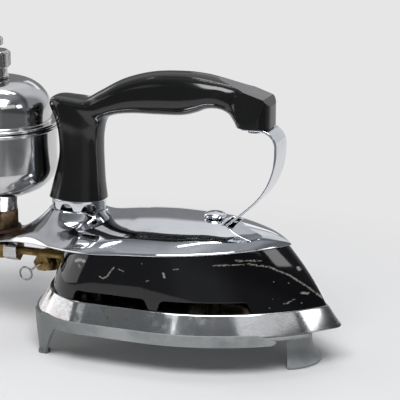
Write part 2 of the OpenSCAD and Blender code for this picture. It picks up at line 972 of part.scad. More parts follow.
module cap_nut() {
  z0 = crest_h + fit;
  color("gainsboro")
    placed()
      difference() {
        translate([crest_x, 0, z0])
          rotate_extrude()
            polygon(concat(
              [[0, 0], [cap_nut_r - 1.6, 0], [cap_nut_r - 0.6, 0.4], [cap_nut_r, 1]],
              [for (k = [0 : 8])
                let (a = 90 * k / 8)
                [cap_nut_r * cos(a), cap_nut_rim + (cap_nut_h - cap_nut_rim) * sin(a)]]
            ));
        rod_z(crest_x, 0, crest_h - over, crest_h + stud_over + 0.2, stud_r + fit);
        translate([crest_x - cap_nut_r, -0.6, z0 + cap_nut_h - 0.8])
          cube([2 * cap_nut_r, 1.2, cap_nut_h]);
      }
}

module burner() {
  color("dimgray")
    placed()
      difference() {
        union() {
          translate([burner_x0 + burner_round, -burner_half, sole_t + fit])
            cube([burner_x1 - burner_x0 - 2 * burner_round, 2 * burner_half, burner_h]);
          translate([burner_x0, -burner_half + burner_round, sole_t + fit])
            cube([burner_x1 - burner_x0, 2 * burner_half - 2 * burner_round, burner_h]);
          for (x = [burner_x0 + burner_round, burner_x1 - burner_round])
            for (y = [-burner_half + burner_round, burner_half - burner_round])
              rod_z(x, y, sole_t + fit, sole_t + fit + burner_h, burner_round);
        }
        translate([burner_x0 + 4, -burner_half + 4, sole_t + 3])
          cube([burner_x1 - burner_x0 - 8, 2 * burner_half - 8, burner_h - 5]);
        rod_x(burner_x0 - over, burner_x0 + 5, tube_y, mix_z, mix_r + fit);
        for (k = [0 : ports - 1])
          translate([burner_x0 + 8 + k * (burner_x1 - burner_x0 - 16) / (ports - 1), 0, sole_t + 6])
            rotate([90, 0, 0])
              cylinder(h = 3 * burner_half, r = port_r, center = true);
      }
}

module mixing_tube() {
  color("goldenrod")
    placed()
      translate([0, tube_y, mix_z])
        rotate([0, 90, 0])
          rotate_extrude()
            polygon([
              [mix_bore, mix_in],
              [mix_r, mix_in],
              [mix_r, mix_out + 3],
              [mouth_r, mix_out - 2],
              [mouth_r - 0.8, mix_out - 2],
              [mix_bore, mix_out + 3]
            ]);
}

module generator_tube() {
  color("goldenrod")
    placed()
      difference() {
        tube_line(tube_r);
        rod_x(outlet_x - over, outlet_x + 30, -tube_y, tube_z, tube_bore);
      }
}

module gas_jet() {
  color("gold")
    placed()
      translate([0, tube_y, mix_z])
        rotate([0, 90, 0])
          rotate_extrude()
            polygon([
              [0.4, jet_x + 2],
              [jet_shank_r, jet_x + 2],
              [jet_shank_r, jet_x + jet_r + fit],
              [2.6, jet_x + jet_r + fit],
              [2.6, jet_x + jet_r + 2],
              [1.2, jet_x + jet_r + 4],
              [0.4, jet_x + jet_r + 4]
            ]);
}

module jet_block() {
  color("gold")
    placed()
      difference() {
        union() {
          rod_z(jet_x, tube_y, jet_z - 7, jet_top - fit, jet_r);
          translate([jet_x, tube_y, jet_z])
            rotate([90, 0, 0])
              cylinder(h = tube_y - 2, r = 4);
        }
        translate([jet_x, tube_y - 1, jet_z])
          rotate([90, 0, 0])
            cylinder(h = tube_y, r = wire_r + run);
        rod_x(jet_x + 2 - fit, jet_x + 2 * jet_r, tube_y, mix_z, jet_shank_r + fit);
      }
}

module needle_gland() {
  color("gold")
    placed()
      difference() {
        translate([jet_x, 2 - fit, jet_z])
          rotate([90, 0, 0])
            cylinder(h = gland_l, r = gland_r, $fn = 6);
        translate([jet_x, 4, jet_z])
          rotate([90, 0, 0])
            cylinder(h = gland_l + 4, r = wire_r + run);
      }
}

module cleaner_lever() {
  color("silver")
    placed()
      translate([jet_x, 0, jet_z]) {
        translate([0, tube_y - 2, 0])
          rotate([90, 0, 0])
            cylinder(h = tube_y - 2 - wire_y, r = wire_r, $fn = 24);
        translate([0, wire_y, 0])
          sphere(r = wire_r * 1.02, $fn = 24);
        translate([0, wire_y, 0])
          rotate([0, -loop_fall, 0]) {
            translate([-loop_reach, 0, 0])
              rotate([0, 90, 0])
                cylinder(h = loop_reach, r = wire_r, $fn = 24);
            translate([-loop_reach - loop_r + wire_r / 2, 0, 0])
              rotate([90, 0, 0])
                rotate_extrude($fn = 48)
                  translate([loop_r, 0])
                    circle(r = wire_r, $fn = 24);
          }
      }
}

module outlet_nut() {
  color("gainsboro")
    placed()
      hex_x(outlet_x + fit, outlet_x + outlet_l, -tube_y, tube_z, outlet_nut_r, tube_r + fit);
}

module valve_body() {
  color("gold")
    placed()
      difference() {
        union() {
          rod_z(tank_x, 0, boss_low, boss_top - 2, valve_boss_r);
          rod_z(tank_x, 0, boss_low, boss_top, valve_boss_r - 2);
          rod_x(valve_end, tank_x, 0, valve_z, valve_r);
          translate([tank_x, -tube_y - manifold_edge, tube_z - manifold_edge])
            cube([outlet_x - tank_x - fit, tube_y + 2 * manifold_edge, manifold_h]);
        }
        rod_z(tank_x, 0, valve_z - 3, boss_top + over, tank_stem_r + fit);
        rod_x(valve_end - over, tank_x - tank_stem_r, 0, valve_z, valve_stem_r + run);
      }
}

module packing_nut() {
  color("gold")
    placed()
      hex_x(valve_end - packing_l, valve_end - fit, 0, valve_z, packing_r, valve_stem_r + run);
}

module valve_stem() {
  color("silver")
    placed()
      difference() {
        rod_x(knob_end + 1, tank_x - tank_stem_r - 1, 0, valve_z, valve_stem_r);
        rod_x(knob_end, knob_end + 8, 0, valve_z, 1.2);
      }
}

module valve_knob() {
  steps = knob_lobes * 12;
  color("black")
    placed()
      difference() {
        translate([knob_end, 0, valve_z])
          rotate([0, 90, 0])
            linear_extrude(knob_l)
              polygon([
                for (k = [0 : steps - 1])
                  let (t = 360 * k / steps, r = knob_r - 0.7 + 0.7 * cos(knob_lobes * t))
                  [r * cos(t), r * sin(t)]
              ]);
        rod_x(knob_end - over, knob_x + over, 0, valve_z, valve_stem_r + fit);
      }
}

module knob_screw() {
  color("silver")
    placed()
      difference() {
        union() {
          rod_x(knob_end - knob_head_h, knob_end - fit, 0, valve_z, knob_head_r);
          rod_x(knob_end - fit, knob_end + 7, 0, valve_z, 1.2 - fit);
        }
        translate([knob_end - knob_head_h - over, -knob_head_r - over, valve_z - 0.4])
          cube([over + 0.8, 2 * knob_head_r + 2 * over, 0.8]);
      }
}

module tank_stem() {
  color("gold")
    placed()
      difference() {
        rod_z(tank_x, 0, valve_z - 2.5, tank_z + 6, tank_stem_r);
        rod_z(tank_x, 0, valve_z - 4, tank_z + 7, tank_stem_bore);
      }
}

module stem_washer() {
  color("saddlebrown")
    placed()
      difference() {
        rod_z(tank_x, 0, tongue_h + 0.1, tongue_h + stem_washer_t, stem_washer_r);
        rod_z(tank_x, 0, tongue_h - over, tongue_h + 3, tank_stem_r + fit);
      }
}

module stem_nut() {
  color("darkgoldenrod")
    placed()
      hex_z(tank_x, tongue_h + stem_washer_t + fit, tank_z - tank_nut_h, stem_nut_r, tank_stem_r + fit);
}

module tank_nut() {
  color("gainsboro")
    placed()
      hex_z(tank_x, tank_z - tank_nut_h + fit, tank_z - fit, tank_nut_r, tank_stem_r + fit);
}

function quarter(c, rx, rz, a0, a1, n) =
  [for (k = [0 : n]) let (a = a0 + (a1 - a0) * k / n) [c[0] + rx * cos(a), c[1] + rz * sin(a)]];

module tank_lower() {
  w = tank_wall;
  color("gainsboro")
    placed()
      translate([tank_x, 0, 0])
        rotate_extrude($fn = 96)
          polygon(concat(
            [[tank_stem_r + fit, tank_z]],
            quarter([flat_r, belly_z], tank_r - flat_r, belly_z - tank_z, -90, 0, 10),
            [[tank_r, seam_z - bead], [seam_r, seam_z - bead + 0.6], [seam_r, seam_z - 0.6]],
            [[seam_r - 0.6, seam_z], [tank_r - w, seam_z]],
            quarter([flat_r, belly_z], tank_r - flat_r - w, belly_z - tank_z - w, 0, -90, 10),
            [[tank_stem_r + fit, tank_z + w]]
          ));
}

module tank_upper() {
  w = tank_wall;
  color("gainsboro")
    placed()
      translate([tank_x, 0, 0])
        rotate_extrude($fn = 96)
          polygon(concat(
            [[neck_bore + 1.5, dome_z - w], [neck_bore + 1.5, dome_z]],
            quarter([flat_r, shoulder_z], dome_r - flat_r, dome_z - shoulder_z, 90, 0, 10),
            [[dome_r, seam_z + bead], [seam_r - 0.6, seam_z + bead], [seam_r, seam_z + bead - 0.6]],
            [[seam_r, seam_z + 0.65], [seam_r - 0.6, seam_z + fit], [dome_r - w, seam_z + fit]],
            quarter([flat_r, shoulder_z], dome_r - flat_r - w, dome_z - shoulder_z - w, 0, 90, 10)
          ));
}

module pickup_tube() {
  color("goldenrod")
    placed()
      difference() {
        rod_z(tank_x, 0, tank_z - 4, tank_z + 9, tank_stem_bore - fit);
        rod_z(tank_x, 0, tank_z - 5, tank_z + 10, tank_stem_bore - 0.9);
      }
}

module filler_neck() {
  top = cap_z + cap_l - cap_roof - seal_t - 2 * seat;
  color("gainsboro")
    placed()
      translate([tank_x, 0, 0])
        rotate_extrude()
          polygon([
            [neck_bore, dome_z - 2.5],
            [neck_bore + 1.4, dome_z - 2.5],
            [neck_bore + 1.4, dome_z + fit],
            [neck_foot_r, dome_z + fit],
            [neck_foot_r, dome_z + neck_foot_h],
            [neck_r, dome_z + neck_foot_h + 0.6],
            [neck_r, cap_z - 1.4],
            [neck_thread_r, cap_z - 0.9],
            [neck_thread_r, top],
            [neck_bore, top]
          ]);
}

module filler_seal() {
  z = cap_z + cap_l - cap_roof - seal_t - seat;
  color("dimgray")
    placed()
      difference() {
        rod_z(tank_x, 0, z, z + seal_t, neck_thread_r);
        rod_z(tank_x, 0, z - over, z + seal_t + over, neck_bore - 0.4);
      }
}

module filler_cap() {
  teeth = 36;
  color("gainsboro")
    placed()
      translate([tank_x, 0, 0])
        difference() {
          union() {
            translate([0, 0, cap_z + 0.8])
              linear_extrude(cap_l - 2.4)
                polygon([
                  for (k = [0 : 2 * teeth - 1])
                    let (t = 180 * k / teeth, r = filler_r - 0.35 * (k % 2))
                    [r * cos(t), r * sin(t)]
                ]);
            rod_z(0, 0, cap_z, cap_z + cap_l - over, filler_r - 0.6);
            rod_z(0, 0, cap_z + over, cap_z + cap_l, filler_r - 1.6);
          }
          rod_z(0, 0, cap_z - over, cap_z + cap_l - cap_roof, neck_thread_r + run);
          rod_z(0, 0, cap_z, cap_z + cap_l + over, screw_stem_r + run);
        }
}

module air_screw() {
  z = cap_z + cap_l + 3.1;
  teeth = 24;
  color("gainsboro")
    placed()
      translate([tank_x, 0, 0])
        union() {
          rod_z(0, 0, cap_z + cap_l - cap_roof - 2, z + over, screw_stem_r);
          rod_z(0, 0, cap_z + cap_l + 0.3, z + over, screw_stem_r + 0.7);
          translate([0, 0, z])
            linear_extrude(screw_knob_h - 0.8)
              polygon([
                for (k = [0 : 2 * teeth - 1])
                  let (t = 180 * k / teeth, r = screw_knob_r - 0.3 * (k % 2))
                  [r * cos(t), r * sin(t)]
              ]);
          rod_z(0, 0, z, z + screw_knob_h, screw_knob_r - 0.8);
        }
}

stand();
sole_plate();
body_shell();
spacers();
heat_baffle();
top_cover();
handle_collar();
handle();
handle_bolt();
bolt_washer();
handle_plug();
front_strap();
strap_screw();
front_stud();
stud_nut();
cap_nut();
burner();
mixing_tube();
generator_tube();
gas_jet();
jet_block();
needle_gland();
cleaner_lever();
outlet_nut();
valve_body();
packing_nut();
valve_stem();
valve_knob();
knob_screw();
tank_stem();
stem_washer();
stem_nut();
tank_nut();
tank_lower();
tank_upper();
pickup_tube();
filler_neck();
filler_seal();
filler_cap();
air_screw();
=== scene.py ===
# %% [markdown]
# # A gasoline pressing iron on its stand
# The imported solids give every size, place and joint. This lesson dresses them: it lays smooth skins over
# the forms that catch the light, and gives each metal, moulding and painted sheet its own finish. The
# record names a material slot for each solid, and a skin takes over the slot of the solid that it covers.

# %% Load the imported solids
import json
import math

import bmesh
import bpy
from mathutils import Matrix, Vector


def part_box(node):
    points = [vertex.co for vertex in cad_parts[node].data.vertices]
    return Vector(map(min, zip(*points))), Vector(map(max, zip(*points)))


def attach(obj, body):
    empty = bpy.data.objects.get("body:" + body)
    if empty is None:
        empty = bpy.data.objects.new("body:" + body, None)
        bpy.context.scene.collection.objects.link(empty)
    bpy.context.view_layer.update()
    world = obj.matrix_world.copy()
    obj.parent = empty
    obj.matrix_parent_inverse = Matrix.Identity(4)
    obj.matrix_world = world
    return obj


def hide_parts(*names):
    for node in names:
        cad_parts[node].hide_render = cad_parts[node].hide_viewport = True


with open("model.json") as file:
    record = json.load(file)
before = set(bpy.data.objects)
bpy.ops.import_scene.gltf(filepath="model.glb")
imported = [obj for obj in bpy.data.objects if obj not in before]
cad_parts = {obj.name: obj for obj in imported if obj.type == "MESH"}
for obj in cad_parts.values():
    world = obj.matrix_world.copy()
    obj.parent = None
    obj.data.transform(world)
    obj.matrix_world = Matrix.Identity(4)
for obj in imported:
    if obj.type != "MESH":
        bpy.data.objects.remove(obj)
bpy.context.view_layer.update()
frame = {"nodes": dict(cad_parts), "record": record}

slot_of = {part["node"]: part["material_slot"] for part in frame["record"]["subparts"]}

# %% [markdown]
# ## The bench frame
# A maker measures this iron in millimetres, from the middle of the sole plate and up from the ironing
# face. The pieces are drawn in that frame, and one matrix takes them to metres on the table. Two packed
# solids tell where the frame lies: the axis of the tank and the underside of the sole plate.

# %% From the bench to the table
TANK_X = -127.5
tank_low, tank_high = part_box("tank_lower")
sole_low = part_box("sole_plate")[0]
bench_x = (tank_low.x + tank_high.x) / 2 - TANK_X / 1000
BENCH = Matrix.Translation((bench_x, 0, sole_low.z)) @ Matrix.Scale(0.001, 4)
print("bench origin:", tuple(round(c, 5) for c in BENCH.translation))

# %% [markdown]
# ## Camera
# The photograph was taken with a long lens, a little above the iron and in front of its near side. The
# place was worked out from the outlines of the sole plate, the cover and the tank, and the aim keeps the
# same crop.

# %% Camera
LENS, CAMERA_SPOT, CAMERA_AIM = 152.44, (349.85, -897.46, 343.30), (5.35, 0, 67.83)
camera_data = bpy.data.cameras.new("camera")
camera_data.sensor_width = 36
camera_data.lens = LENS
camera = bpy.data.objects.new("camera", camera_data)
camera.location = BENCH @ Vector(CAMERA_SPOT)
aim = BENCH @ Vector(CAMERA_AIM)
camera.rotation_euler = (aim - camera.location).to_track_quat("-Z", "Y").to_euler()
bpy.context.scene.collection.objects.link(camera)
bpy.context.scene.camera = camera
bpy.context.scene.view_settings.view_transform = "Standard"
print("camera distance in metres:", round((aim - camera.location).length, 3))

# %% [markdown]
# ## Colour and node helpers
# Colours are written as the hex values that a paint chart gives, and a shader wants linear light, so one
# function turns one into the other. Another adds any node with its settings and plugs its sockets, because
# a tree that is built node by node stays readable that way. The kinds of node that are used most have
# short names.

# %% Colour and node helpers
NOISE, RANGE, MIX = "ShaderNodeTexNoise", "ShaderNodeMapRange", "ShaderNodeMix"
MATH, BUMP = "ShaderNodeMath", "ShaderNodeBump"


def linear(hex_colour):
    """An sRGB hex colour as linear values with full alpha."""
    parts = [int(hex_colour[i:i + 2], 16) / 255 for i in (1, 3, 5)]
    return tuple(c / 12.92 if c <= 0.04045 else ((c + 0.055) / 1.055) ** 2.4 for c in parts) + (1.0,)


def plug(tree, node, sockets):
    """Fills sockets with numbers, hex colours, outputs, or nodes whose first output in use is meant."""
    for key, value in sockets.items():
        if isinstance(value, bpy.types.Node):
            value = next(output for output in value.outputs if output.enabled)
        if isinstance(value, bpy.types.NodeSocket):
            tree.links.new(value, node.inputs[key])
        else:
            node.inputs[key].default_value = linear(value) if isinstance(value, str) else value


def add(tree, kind, sockets=None, **settings):
    """A shader node with its settings and its sockets filled."""
    made = tree.nodes.new(kind)
    for key, value in settings.items():
        setattr(made, key, value)
    plug(tree, made, sockets or {})
    return made


def start_finish(name):
    """A new material with its tree and the place on the object that patterns read."""
    finish = bpy.data.materials.new(name)
    finish.use_nodes = True
    return finish, finish.node_tree, add(finish.node_tree, "ShaderNodeTexCoord").outputs["Object"]


finishes = {}


def keep_finish(solid, finish, sockets):
    """Plugs the shader of a finish and keeps it for the material slot of this solid."""
    tree = finish.node_tree
    plug(tree, tree.nodes["Principled BSDF"], sockets)
    finishes[slot_of[solid]] = finish
    print(finish.name, "nodes:", len(tree.nodes))


def per_mm(size):
    """Texture scale at which one feature is about this many millimetres, because places are in metres."""
    return 1000 / size


print("white in linear light:", linear("#ffffff")[0])

# %% [markdown]
# ## Table top
# The iron stands on one pale matt sheet. Its front and side edges lie close to the iron, just out of the
# picture. They matter: the tank and the enamel mirror the dim room beyond them, which is why they look
# dark from the front. A hand's breadth away from the iron the camera and the metal see the sheet melt into
# a studio's pale ground.

# %% Table top
TABLE = [(-0.22, -0.31), (0.20, -0.31), (0.24, -0.20), (0.52, 0.12), (5.0, 9.0), (-5.8, 9.0)]
GROUND, FADE_FROM, FADE_TO = "#e6e6e6", 0.16, 0.32
finish, tree, place = start_finish("pale_table_top")
cloud = add(tree, NOISE, {"Vector": place, "Scale": per_mm(240), "Detail": 3})
tone = add(tree, MIX, {0: cloud, 6: GROUND, 7: "#ebebeb"}, data_type="RGBA")
shader = tree.nodes["Principled BSDF"]
plug(tree, shader, {"Base Color": tone, "Roughness": 0.6})
reach = add(tree, "ShaderNodeVectorMath", {0: place}, operation="LENGTH")
far = add(tree, RANGE, {"Value": reach, "From Min": FADE_FROM, "From Max": FADE_TO})
sight = add(tree, "ShaderNodeLightPath")
plain = add(tree, MATH, {0: sight.outputs["Is Camera Ray"], 1: sight.outputs["Is Glossy Ray"]},
            operation="MAXIMUM")
faded = add(tree, MATH, {0: far, 1: plain}, operation="MULTIPLY")
ground = add(tree, "ShaderNodeEmission", {"Color": GROUND})
melt = add(tree, "ShaderNodeMixShader", {0: faded, 1: shader, 2: ground})
plug(tree, tree.nodes["Material Output"], {"Surface": melt})
bm = bmesh.new()
bm.faces.new([bm.verts.new((x, y, 0)) for x, y in TABLE])
floor_mesh = bpy.data.meshes.new("table_top")
bm.to_mesh(floor_mesh)
bm.free()
floor_mesh.materials.append(finish)
floor = bpy.data.objects.new("table_top", floor_mesh)
bpy.context.scene.collection.objects.link(floor)
print("table corners in metres:", TABLE)

# %% [markdown]
# ## Room
# Plated metal shows the room more than itself. Going up from the far horizon, over the head and down to
# the camera's back, this room is a grey low wall, a pale upper wall, a grey ceiling and a dim near side.
# One angle runs along that way, and a colour ramp holds the zones of each half, left and right. Both ends
# are dimmer, and the walls light the table less than they show in the metal. The camera itself sees a
# plain pale ground.

# %% Room
ROOM = ((("#8d8e91", "#808285"),
         ((28, "#97989b"), (34, "#f2f3f6"), (69, "#f8f9fb"), (74, "#7b7e84"), (82, "#b4b7bb"),
          (90, "#c9cbce"), (100, "#9a9da2"), (112, "#84878a"), (130, "#787b7e"))),
        (("#d6d7da", "#9a9c9f"),
         ((45, "#e2e3e7"), (62, "#e2e3e7"), (67, "#6f7276"), (72, "#6f7276"), (79, "#9a9da2"),
          (95, "#9a9da2"), (112, "#6c6e71"), (145, "#6c6e71"), (166, "#9a9c9f"))))
room = bpy.data.worlds.new("room")
room.use_nodes = True
bpy.context.scene.world = room
tree = room.node_tree
way = add(tree, "ShaderNodeTexCoord").outputs["Generated"]
split = add(tree, "ShaderNodeSeparateXYZ", {0: way})
upper = add(tree, MATH, {0: split.outputs["Z"], 1: 0.0001}, operation="MAXIMUM")
turn = add(tree, MATH, {0: upper, 1: split.outputs["Y"]}, operation="ARCTAN2")
share = add(tree, MATH, {0: turn, 1: math.pi}, operation="DIVIDE")
halves = []
for ends, rest in ROOM:
    zones = add(tree, "ShaderNodeValToRGB", {0: share})
    stops = zones.color_ramp.elements
    stops[0].color, stops[1].color = (linear(colour) for colour in ends)
    for degrees, colour in rest:
        stops.new(degrees / 180).color = linear(colour)
    halves.append(zones)
side = add(tree, RANGE, {"Value": split.outputs["X"], "From Min": -0.05, "From Max": 0.12})
both = add(tree, MIX, {0: side, 6: halves[0], 7: halves[1]}, data_type="RGBA")
left = add(tree, RANGE, {"Value": split.outputs["X"], "From Min": -0.55, "From Max": 0.05,
                         "To Min": 0.75, "To Max": 1.0})
right = add(tree, RANGE, {"Value": split.outputs["X"], "From Min": 0.42, "From Max": 0.62,
                          "To Min": 1.0, "To Max": 0.45})
dim = add(tree, MATH, {0: left, 1: right}, operation="MULTIPLY")
sight = add(tree, "ShaderNodeLightPath")
soft = add(tree, RANGE, {"Value": sight.outputs["Is Glossy Ray"], "To Min": 0.45, "To Max": 1.0})
strength = add(tree, MATH, {0: dim, 1: soft}, operation="MULTIPLY")
lit = add(tree, "ShaderNodeVectorMath", {0: both, "Scale": strength}, operation="SCALE")
seen = add(tree, MIX, {0: sight.outputs["Is Camera Ray"], 6: lit, 7: GROUND}, data_type="RGBA")
plug(tree, tree.nodes["Background"], {"Color": seen, "Strength": 1.0})
print("zones in each half of the room:", [len(rest) + 2 for ends, rest in ROOM])

# %% [markdown]
# ## Lamps
# A broad soft box above the front gives the plain level of light. The others shape what the metal mirrors:
# three strips on the ceiling draw lines along the cover, a wide window on the left lights the rear of the
# sole plate, a small one on the right draws the white band near its tip, and a panel greys the run
# between. Two more panels and a tube give the tank, the handle and the neck their narrow lights.


# %% Lamps
def lamp(name, spot, size, radiance, target=(0, 0, 0.06)):
    """A soft rectangular lamp that looks at its target, with this much light from each bit of its face."""
    data = bpy.data.lights.new(name, "AREA")
    data.shape = "RECTANGLE"
    data.size, data.size_y = size
    data.energy = radiance * math.pi * size[0] * size[1]
    data.color = linear("#fdfdff")[:3]
    obj = bpy.data.objects.new(name, data)
    obj.location = spot
    obj.rotation_euler = (Vector(target) - Vector(spot)).to_track_quat("-Z", "Y").to_euler()
    bpy.context.scene.collection.objects.link(obj)


lamp("soft_box", (0.30, -0.90, 1.68), (1.4, 0.85), 8.2)
lamp("ceiling_strip_far", (-0.02, 0.55, 1.95), (1.0, 0.10), 9.0)
lamp("ceiling_strip_near", (-0.05, 0.27, 1.95), (0.7, 0.06), 9.0)
lamp("ceiling_strip_left", (-0.95, 0.24, 1.66), (0.30, 0.03), 8.0)
lamp("left_window", (-1.50, 0.0, 0.42), (2.2, 1.2), 1.25)
lamp("right_window", (1.23, -0.205, 0.97), (0.25, 0.27), 4.0)
lamp("front_panel", (1.00, -0.77, 1.17), (0.86, 0.36), 0.70)
lamp("left_panel", (-0.79, -1.0, 1.0), (0.30, 0.32), 0.45)
lamp("tube_middle", (-0.10, -1.15, 1.06), (0.035, 0.26), 2.2)
lamp("far_panel", (-0.23, 1.47, 0.72), (0.55, 0.22), 0.85, (0.03, 0, 0.14))

# %% [markdown]
# ## Chrome plate
# The cover, the collar, the strap and the cap nut are steel with a chrome plate: a bright, slightly blue
# mirror. An even mirror looks drawn, so a noise wipes haze over it in soft patches, fine scratches run
# along the iron, and a very shallow bump bends the reflections as hand polishing does.

# %% Chrome plate
finish, tree, place = start_finish("chrome_plate_polished")
wipe = add(tree, NOISE, {"Vector": place, "Scale": per_mm(16), "Detail": 6, "Roughness": 0.65})
haze = add(tree, RANGE, {"Value": wipe, "From Min": 0.52, "From Max": 0.80})
stretch = add(tree, "ShaderNodeMapping", {"Vector": place, "Scale": (1.0, 22.0, 22.0)})
hair = add(tree, NOISE, {"Vector": stretch, "Scale": per_mm(14), "Detail": 3})
line = add(tree, RANGE, {"Value": hair, "From Min": 0.60, "From Max": 0.72})
worn = add(tree, MATH, {0: haze, 1: line}, operation="MAXIMUM")
tint = add(tree, MIX, {0: worn, 6: "#dfe1e5", 7: "#c8cbd0"}, data_type="RGBA")
gloss = add(tree, RANGE, {"Value": worn, "To Min": 0.035, "To Max": 0.11})
wave = add(tree, NOISE, {"Vector": place, "Scale": per_mm(30), "Detail": 2})
dent = add(tree, BUMP, {"Height": wave, "Strength": 0.05, "Distance": 0.0006})
keep_finish("top_cover", finish, {"Base Color": tint, "Roughness": gloss, "Normal": dent, "Metallic": 1.0})

# %% [markdown]
# ## Bright nickel of the tank
# The tank is drawn brass with a bright nickel plate, a warmer mirror than chrome. Cells of a Voronoi
# pattern become small dark pits where the plate has failed, and a noise keeps them in patches, as
# corrosion does.

# %% Bright nickel of the tank
finish, tree, place = start_finish("nickel_plate_bright")
wipe = add(tree, NOISE, {"Vector": place, "Scale": per_mm(20), "Detail": 5, "Roughness": 0.55})
pits = add(tree, "ShaderNodeTexVoronoi", {"Vector": place, "Scale": per_mm(4)})
pit = add(tree, RANGE, {"Value": pits, "From Min": 0.06, "From Max": 0.11,
                        "To Min": 1.0, "To Max": 0.0})
few = add(tree, RANGE, {"Value": wipe, "From Min": 0.52, "From Max": 0.62})
spot = add(tree, MATH, {0: pit, 1: few}, operation="MULTIPLY")
tint = add(tree, MIX, {0: wipe, 6: "#d8d8d8", 7: "#bcbcbd"}, data_type="RGBA")
spotted = add(tree, MIX, {0: spot, 6: tint, 7: "#5b564c"}, data_type="RGBA")
gloss = add(tree, RANGE, {"Value": wipe, "From Min": 0.3, "From Max": 0.75, "To Min": 0.07, "To Max": 0.18})
wave = add(tree, NOISE, {"Vector": place, "Scale": per_mm(26), "Detail": 1})
dent = add(tree, BUMP, {"Height": wave, "Strength": 0.06, "Distance": 0.0006})
keep_finish("tank_lower", finish,
            {"Base Color": spotted, "Roughness": gloss, "Normal": dent, "Metallic": 1.0})

# %% [markdown]
# ## Worn nickel of the sole plate
# The sole plate is cast iron, ground and nickelled, and it has been hot. Its front is brushed along its
# length. Its middle is mottled where the plate is thin, near the rear corner heat left a straw stain, and
# the tip is pitted. Masks along the plate decide where each of these shows, and noise breaks their edges.

# %% Worn nickel of the sole plate
finish, tree, place = start_finish("nickel_worn_satin")
axes = add(tree, "ShaderNodeSeparateXYZ", {0: place})
stretch = add(tree, "ShaderNodeMapping", {"Vector": place, "Scale": (1.0, 18.0, 18.0)})
stroke = add(tree, NOISE, {"Vector": stretch, "Scale": per_mm(12), "Detail": 4})
blot = add(tree, NOISE, {"Vector": place, "Scale": per_mm(9), "Detail": 7, "Roughness": 0.7})
middle = add(tree, RANGE, {"Value": axes.outputs["X"], "From Min": 0.020, "From Max": 0.075,
                           "To Min": 1.0, "To Max": 0.12})
thin = add(tree, RANGE, {"Value": blot, "From Min": 0.46, "From Max": 0.62})
front = add(tree, RANGE, {"Value": axes.outputs["X"], "From Min": -0.030, "From Max": 0.0,
                          "To Min": 0.2, "To Max": 1.0})
reach = add(tree, MATH, {0: middle, 1: front}, operation="MULTIPLY")
mottle = add(tree, MATH, {0: thin, 1: reach}, operation="MULTIPLY")
hot = add(tree, RANGE, {"Value": axes.outputs["X"], "From Min": -0.035, "From Max": -0.012,
                        "To Min": 1.0, "To Max": 0.0})
straw = add(tree, RANGE, {"Value": stroke, "From Min": 0.44, "From Max": 0.60, "To Max": 0.3})
stain = add(tree, MATH, {0: straw, 1: hot}, operation="MULTIPLY")
tint = add(tree, MIX, {0: stroke, 6: "#d6d7d8", 7: "#b4b6b7"}, data_type="RGBA")
dull = add(tree, MIX, {0: mottle, 6: tint, 7: "#6f736c"}, data_type="RGBA")
warm = add(tree, MIX, {0: stain, 6: dull, 7: "#b38a66"}, data_type="RGBA")
tip = add(tree, RANGE, {"Value": axes.outputs["X"], "From Min": 0.116, "From Max": 0.134})
eaten = add(tree, RANGE, {"Value": blot, "From Min": 0.42, "From Max": 0.55})
pitted = add(tree, MATH, {0: tip, 1: eaten}, operation="MULTIPLY")
dark = add(tree, MIX, {0: pitted, 6: warm, 7: "#3f3b36"}, data_type="RGBA")
gloss = add(tree, RANGE, {"Value": mottle, "To Min": 0.09, "To Max": 0.30})
groove = add(tree, BUMP, {"Height": stroke, "Strength": 0.04, "Distance": 0.0002})
keep_finish("sole_plate", finish,
            {"Base Color": dark, "Roughness": gloss, "Normal": groove, "Metallic": 1.0})

# %% [markdown]
# ## Black enamel
# The body shell is steel with a fired vitreous enamel: deep black glass with a faint orange peel. Knocks
# have flaked it and left pale chips and long scratches, and pale painted highlights lie among them where the
# glossy enamel reflects light. Their places are stored on the shell as an attribute called
# knocks_and_highlights, and a fine noise breaks their edges so that they look flaked.

# %% Black enamel
finish, tree, place = start_finish("black_vitreous_enamel")
# Pale marks: flaked chips and scratches, and painted highlights where the glossy enamel reflects light.
knocks_and_highlights = add(tree, "ShaderNodeAttribute", attribute_name="knocks_and_highlights").outputs["Fac"]
crumb = add(tree, NOISE, {"Vector": place, "Scale": per_mm(1.3), "Detail": 4, "Roughness": 0.7})
broken = add(tree, MATH, {0: crumb, 1: 1.5, 2: -0.75}, operation="MULTIPLY_ADD")
torn = add(tree, MATH, {0: knocks_and_highlights, 1: broken}, operation="ADD")
chip_and_highlight = add(tree, RANGE, {"Value": torn, "From Min": 0.50, "From Max": 0.95})
dust = add(tree, NOISE, {"Vector": place, "Scale": per_mm(28), "Detail": 5, "Roughness": 0.6})
glass = add(tree, MIX, {0: dust, 6: "#050506", 7: "#0d0d10"}, data_type="RGBA")
# One pale colour serves both the bare steel in the chips and the painted highlights.
steel = add(tree, MIX, {0: crumb, 6: "#bdbab2", 7: "#6f6a5f"}, data_type="RGBA")
tint = add(tree, MIX, {0: chip_and_highlight, 6: glass, 7: steel}, data_type="RGBA")
gloss = add(tree, RANGE, {"Value": chip_and_highlight, "To Min": 0.06, "To Max": 0.55})
peel = add(tree, NOISE, {"Vector": place, "Scale": per_mm(9), "Detail": 2})
sunk = add(tree, MATH, {0: peel, 1: chip_and_highlight}, operation="SUBTRACT")
dent = add(tree, BUMP, {"Height": sunk, "Strength": 0.06, "Distance": 0.0004})
keep_finish("body_shell", finish, {"Base Color": tint, "Roughness": gloss, "Normal": dent, "IOR": 1.52})

# %% [markdown]
# ## Black phenolic moulding
# Handle and knob are phenolic resin, pressed in a polished die: black with a trace of brown and a hard
# gloss. Hands have rubbed it, so the roughness wanders a little, and long faint scuffs follow the grip.

